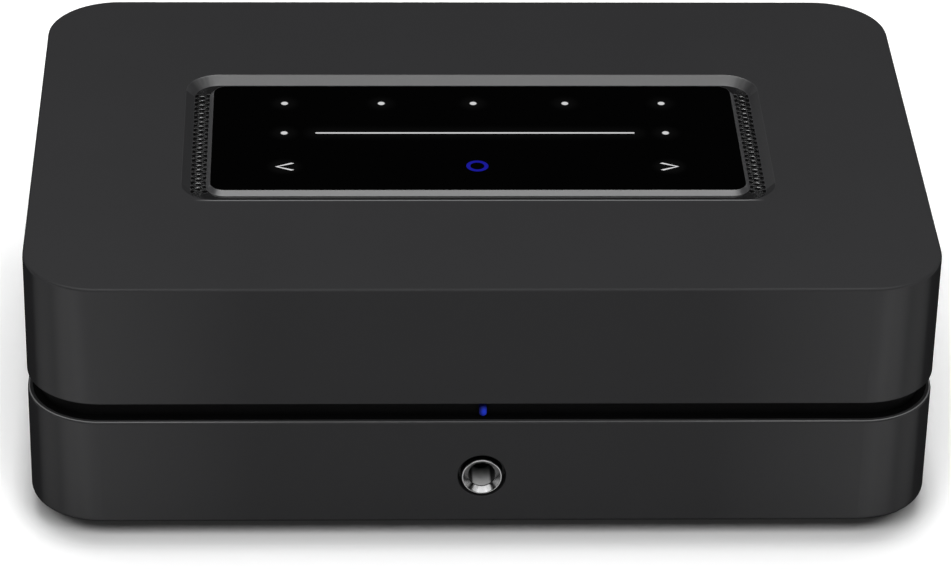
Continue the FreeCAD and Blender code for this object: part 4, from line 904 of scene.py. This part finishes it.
def place_about(finish, middle, reach):
    """Place on the piece, counted from a middle in shares of a reach along each axis."""
    about = add_node(
        finish, "ShaderNodeMapping", {"Vector": on_piece(finish), "Location": middle, "Scale": reach}
    )
    about.vector_type = "TEXTURE"
    return about.outputs["Vector"]


def glow(finish, middle, spread, core, edge):
    """Light that is strongest at a point and fades to an edge colour over a spread along each axis."""
    distance = vector_step(finish, "LENGTH", place_about(finish, middle, spread))
    fade = spread_over(finish, distance, 0, 1, smooth=True)
    colour = blend(finish, fade, (*core, 1), (*edge, 1))
    to_shader(finish, {"Emission Color": colour, "Emission Strength": 1.0})


lens_low, lens_high = boxes_of("indicator_lens")[0]
glow(
    lens_blue,
    middle=(0.0003, lens_low.y, (lens_low.z + lens_high.z) / 2 - 0.0002),
    spread=(0.0012, 0.0018, 0.0018),
    core=(0.008, 0.026, 0.42),
    edge=(0.0004, 0.0004, 0.008),
)
dress(lens_blue, "indicator_lens")


# Panel carrier
# A glass-filled black frame behind the grille, with four ears that screw to posts under the cover.
# It presses the grille plate against the cover and takes the neck of the touch panel.
dress(black_moulding, "panel_carrier")


# Light guide, cable and windows of the touch panel
# A clear acrylic plate spreads the light of the lamps on the touch board under the icon windows.
# A flat polyester cable with copper strips runs from that board down to the main board.
clear_acrylic = surface(
    "clear acrylic", (0.7, 0.72, 0.73), (0.78, 0.8, 0.8), (0.9, 0.9, 0.9),
    grain=0.0006, depth=0.000005, rough=0.12, spread=0.04,
)
to_shader(clear_acrylic, {"Transmission Weight": 0.8})
ribbon = surface(
    "cable ribbon", (0.5, 0.48, 0.42), (0.12, 0.11, 0.1), (0.6, 0.58, 0.52),
    grain=0.0005, depth=0.00002, rough=0.35, spread=0.06, cloud=0.001, drawn=(1, 0.02, 0.02),
)
window_white = surface(
    "lit white", (0.05, 0.05, 0.05), (0.06, 0.06, 0.06), (0.06, 0.06, 0.06),
    depth=0.000002, rough=0.35, spread=0.04, shine=0.3,
)


def distance_round(finish, middle, core_x, core_y):
    """Distance from a flat rectangle, the core of a shape with round corners."""
    off = vector_step(finish, "ABSOLUTE", vector_step(finish, "SUBTRACT", on_piece(finish), middle))
    past = vector_step(finish, "SUBTRACT", off, (core_x, core_y, 0))
    return vector_step(finish, "LENGTH", vector_step(finish, "MAXIMUM", past, (0, 0, 0)))


print_shade = 0.14
print_blur = 0.06
lit = 1.0
for low, high in boxes_of("icon_windows"):
    half = (high - low) / 2
    is_line = half.x > half.y * 4
    if abs(half.x - half.y) > 0.0001 and not is_line:
        continue
    clear_part = 0.97 if is_line else 0.8
    middle = ((low.x + high.x) / 2, (low.y + high.y) / 2, high.z)
    away = distance_round(window_white, middle, half.x - half.y, 0)
    inside = step(window_white, "LESS_THAN", away, half.y * 1.2)
    print_start, print_end = half.y * (clear_part - print_blur), half.y * (clear_part + print_blur)
    printed = spread_over(window_white, away, print_start, print_end, print_shade, 1.0)
    lit = step(window_white, "SUBTRACT", lit, step(window_white, "MULTIPLY", inside, printed))
lit = step(window_white, "MAXIMUM", lit, 0.0)
to_shader(window_white, {"Emission Color": (0.65, 0.65, 0.655, 1), "Emission Strength": lit})
recolour(window_white, step(window_white, "SUBTRACT", 1.0, lit), (0.0004, 0.0004, 0.0004))
window_blue = surface(
    "lit ring", (0.003, 0.003, 0.02), (0.004, 0.004, 0.025), (0.005, 0.005, 0.03),
    depth=0.000001, rough=0.12, spread=0.03, shine=0.1,
)
to_shader(window_blue, {"Emission Color": (0.006, 0.006, 0.27, 1), "Emission Strength": 1.0})
dress(clear_acrylic, "touch_light_guide")
dress(ribbon, "touch_cable")
dress(window_white, "icon_windows")
dress(window_blue, "power_ring_window")


# Touch glass
# A pane of toughened glass, printed black on its underside and left clear behind each icon.
# It is bonded into the bezel, and the lit icons cast a faint haze in the print round them.
black_glass = surface(
    "black glass", (0.0004, 0.0004, 0.00042), (0.0005, 0.0005, 0.00052), (0.001, 0.001, 0.001),
    grain=0.002, depth=0.0000005, rough=0.04, spread=0.01,
)


def haze(finish, windows, reach, strength):
    """Faint light round lit windows, each a spot or a line, that fades over its reach."""
    total = None
    for low, high in windows:
        half = (high - low) / 2
        round_half = min(half.x, half.y)
        middle = ((low.x + high.x) / 2, (low.y + high.y) / 2, high.z)
        distance = distance_round(finish, middle, half.x - round_half, half.y - round_half)
        fade = spread_over(finish, distance, round_half, reach, strength, 0, smooth=True)
        total = fade if total is None else step(finish, "MAXIMUM", total, fade)
    to_shader(finish, {"Emission Color": (1, 1, 1, 1), "Emission Strength": total})


haze(black_glass, boxes_of("icon_windows"), reach=0.0045, strength=0.0022)
dress(black_glass, "touch_glass")


# Touch panel bezel
# A bevelled frame of dark anodised aluminium that holds the glass.
# Its neck passes through the grille plate into the carrier.
bezel_metal = surface(
    "bezel metal", (0.045, 0.045, 0.047), (0.055, 0.055, 0.057), (0.1, 0.1, 0.1),
    grain=0.0003, depth=0.000004, rough=0.3, spread=0.04, edge=0.0002, shine=0.78,
)
dress(bezel_metal, "panel_bezel")


# Vent grille
# Thin sheet steel under the recess, perforated in three staggered rows at each end and painted black.
# Warm air from the heat sink leaves through it.
well_half_width = 0.0709
grille_black = surface(
    "grille paint", (0.007, 0.007, 0.0073), (0.01, 0.01, 0.0103), (0.03, 0.03, 0.03),
    grain=0.0003, rough=0.16, spread=0.03, edge=0.0003, rounded=True,
)
bezel_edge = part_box("panel_bezel")[1].x
row_half_width = 0.0006
land_start = 0.0013
outward = step(grille_black, "ABSOLUTE", axis_of(grille_black, on_piece(grille_black), "X"))
off_middle = step(grille_black, "SUBTRACT", outward, (bezel_edge + well_half_width) / 2)
off_row = step(grille_black, "ABSOLUTE", off_middle)
row_gloss = spread_over(grille_black, off_row, row_half_width, land_start, 2.6, 0.35)
to_shader(grille_black, {"Specular IOR Level": row_gloss})
dress(grille_black, "vent_grille")


# Upper cover
# The other half of the case, cast and finished like the lower one, with a bevelled recess in its top.
# The bevel is cut after blasting, so it is brighter, and posts underneath take the case screws.
recess_middle = (0, -0.0107, 0)
recess_reach = (0.0734, 0.03275, 1)
bevel_gloss = 12.0
cover_metal = casing_metal.copy()
cover_metal.name = "cover metal"
nearly_flat = 0.96
rim_start = 0.997
rim_share = 0.009
about = place_about(cover_metal, recess_middle, recess_reach)
mirrored = vector_step(cover_metal, "ABSOLUTE", about)
side_x = axis_of(cover_metal, mirrored, "X")
furthest = step(cover_metal, "MAXIMUM", side_x, axis_of(cover_metal, mirrored, "Y"))
within = spread_over(cover_metal, furthest, 0.998, 1.0, bevel_gloss, 1.0)
cover_slope = add_node(cover_metal, "ShaderNodeNewGeometry").outputs["Normal"]
sloping = step(cover_metal, "LESS_THAN", axis_of(cover_metal, cover_slope, "Z"), nearly_flat)
cut = add_node(cover_metal, "ShaderNodeMix", {"Factor": sloping, "A": 1.0, "B": within})
satin_gloss = cover_metal.node_tree.nodes["satin gloss"].outputs["Value"]
bright_gloss = step(cover_metal, "MULTIPLY", satin_gloss, cut.outputs["Result"])
to_shader(cover_metal, {"Specular IOR Level": bright_gloss})
# Painted highlight: a thin band along the front rim of the recess is painted light grey, fading out towards
# the corners, in place of the rim's bright reflection.
front_rim_highlight = step(cover_metal, "COMPARE", axis_of(cover_metal, about, "Y"), -rim_start, rim_share)
straight = spread_over(cover_metal, side_x, 0.95, 0.88)
recolour(cover_metal, step(cover_metal, "MULTIPLY", front_rim_highlight, straight), (0.15, 0.15, 0.153))
dress(cover_metal, "upper_cover")


# Case screws
# Long zinc-plated screws that go in from below, through the posts of the lower case.
# They clamp the mid frame between the two halves.
seat_screws("case_bolts", "case_screws", shank=0.0015, head=0.00275, height=0.002, from_below=0.0)


# Camera, floor and lamps
# The amplifier is seen from the front and above, a little from its left, and stands on a white table.
# One soft box hangs over it. The others light it from the front, from both sides and from the rear.
cover_low, cover_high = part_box("upper_cover")
case_middle = Vector((0, (cover_low.y + cover_high.y) / 2, 0))
view_pitch = math.radians(30.8736)
view_yaw = math.radians(1.9467)
view_roll = math.radians(-0.9287)
view_distance = 1.0797
view_right = -0.00833
view_down = -0.02362
focal_pixels = 4161.5
picture_width = 951
sensor_width = 36.0
optical_x = 440.0

level_share = math.cos(view_pitch)
ahead = Vector((math.sin(view_yaw) * level_share, math.cos(view_yaw) * level_share, -math.sin(view_pitch)))
rightward = Vector((math.cos(view_yaw), -math.sin(view_yaw), 0))
downward = ahead.cross(rightward)
lens = bpy.data.cameras.new("camera")
lens.sensor_width = sensor_width
lens.lens = focal_pixels * sensor_width / picture_width
lens.shift_x = (picture_width / 2 - optical_x) / picture_width
camera = bpy.data.objects.new("camera", lens)
bpy.context.scene.collection.objects.link(camera)
stand = case_middle - ahead * view_distance + rightward * view_right + downward * view_down
camera.matrix_world = (
    Matrix.Translation(stand)
    @ Matrix.Rotation(-view_yaw, 4, "Z")
    @ Matrix.Rotation(math.pi / 2 - view_pitch, 4, "X")
    @ Matrix.Rotation(-view_roll, 4, "Z")
)
bpy.context.scene.camera = camera

floor_half = 6.0
wall_height = 1.6
bounce_tone = 0.5
painted_shadow_tone = 0.68
open_tone = 1.22
gap_light = 0.02
case_corner = 0.0182


def stage_white(name, near, far):
    """White to the eye and in reflections, with its cast shadow and a painted shadow near the object. It
    bounces a quieter grey.
    """
    made = bpy.data.materials.new(name)
    made.use_nodes = True
    made.node_tree.nodes.remove(made.node_tree.nodes["Principled BSDF"])
    path = add_node(made, "ShaderNodeLightPath").outputs
    seen = step(made, "MAXIMUM", path["Is Camera Ray"], path["Is Glossy Ray"])
    seen = step(made, "MAXIMUM", seen, path["Is Transmission Ray"])
    core = (cover_high - cover_low) / 2
    off_case = distance_round(made, case_middle, core.x - case_corner, core.y - case_corner)
    shade_start, shade_end = case_corner - 0.003, case_corner + 0.0075
    # Painted shadow: to the eye the floor is darker close round the case outline, on top of the shadow the
    # lamps cast.
    tone_with_painted_shadow = spread_over(made, off_case, shade_start, shade_end, painted_shadow_tone, open_tone, smooth=True)
    tone = spread_over(made, seen, 0, 1, bounce_tone, tone_with_painted_shadow)
    matt = add_node(made, "ShaderNodeBsdfDiffuse", {"Color": tone})
    away = spread_over(made, vector_step(made, "LENGTH", on_piece(made)), near, far)
    white = add_node(made, "ShaderNodeEmission")
    both = add_node(made, "ShaderNodeMixShader", {"Fac": step(made, "MULTIPLY", away, seen)})
    fill(made, both, {1: matt.outputs["BSDF"], 2: white.outputs["Emission"]})
    faint = add_node(made, "ShaderNodeEmission", {"Strength": step(made, "MULTIPLY", seen, gap_light)})
    total = add_node(made, "ShaderNodeAddShader", {0: both.outputs["Shader"], 1: faint.outputs["Emission"]})
    fill(made, made.node_tree.nodes["Material Output"], {"Surface": total.outputs["Shader"]})
    return made


def stage_face(name, corners, faces, finish):
    """Part of the stage, which doesn't belong to the object."""
    mesh = bpy.data.meshes.new(name)
    mesh.from_pydata(corners, [], faces)
    mesh.materials.append(finish)
    made = bpy.data.objects.new(name, mesh)
    bpy.context.scene.collection.objects.link(made)


table_white = stage_white("table white", 0.4, 0.8)
ground = [(x * floor_half, y * floor_half, 0) for x, y in ((-1, -1), (1, -1), (1, 1), (-1, 1))]
stage_face("floor", ground, [(0, 1, 2, 3)], table_white)
above = [(x, y, wall_height) for x, y, z in ground]
stage_face(
    "walls", ground + above, [(n, (n + 1) % 4, (n + 1) % 4 + 4, n + 4) for n in range(4)], table_white
)


def soft_box(name, side, height, distance, width, depth, brightness):
    """An oblong soft lamp that faces the amplifier, so many degrees round from its front and up."""
    lamp = bpy.data.lights.new(name, "AREA")
    lamp.shape = "RECTANGLE"
    lamp.size = width
    lamp.size_y = depth
    lamp.energy = brightness * math.pi * width * depth
    held = bpy.data.objects.new(name, lamp)
    bpy.context.scene.collection.objects.link(held)
    turn = math.radians(side)
    lift = math.radians(height)
    away = Vector((math.sin(turn) * math.cos(lift), -math.cos(turn) * math.cos(lift), math.sin(lift)))
    facing = away.to_track_quat("Z", "Y").to_matrix().to_4x4()
    held.matrix_world = Matrix.Translation(case_middle + away * distance) @ facing


soft_box("overhead", 180, 81, 1.0, 0.8, 0.42, 4.9)
soft_box("front", 0, 52, 1.0, 0.8, 0.5, 4.1)
soft_box("left", -45, 45, 1.1, 0.6, 0.35, 3.5)
soft_box("right", 45, 45, 1.1, 0.6, 0.35, 2.6)
soft_box("rear", 180, 50, 1.1, 0.6, 0.25, 3.0)

world = bpy.data.worlds.new("studio")
world.use_nodes = True
world.node_tree.nodes["Background"].inputs["Color"].default_value = (0.004, 0.004, 0.004, 1)
bpy.context.scene.world = world
bpy.context.scene.view_settings.view_transform = "Standard"
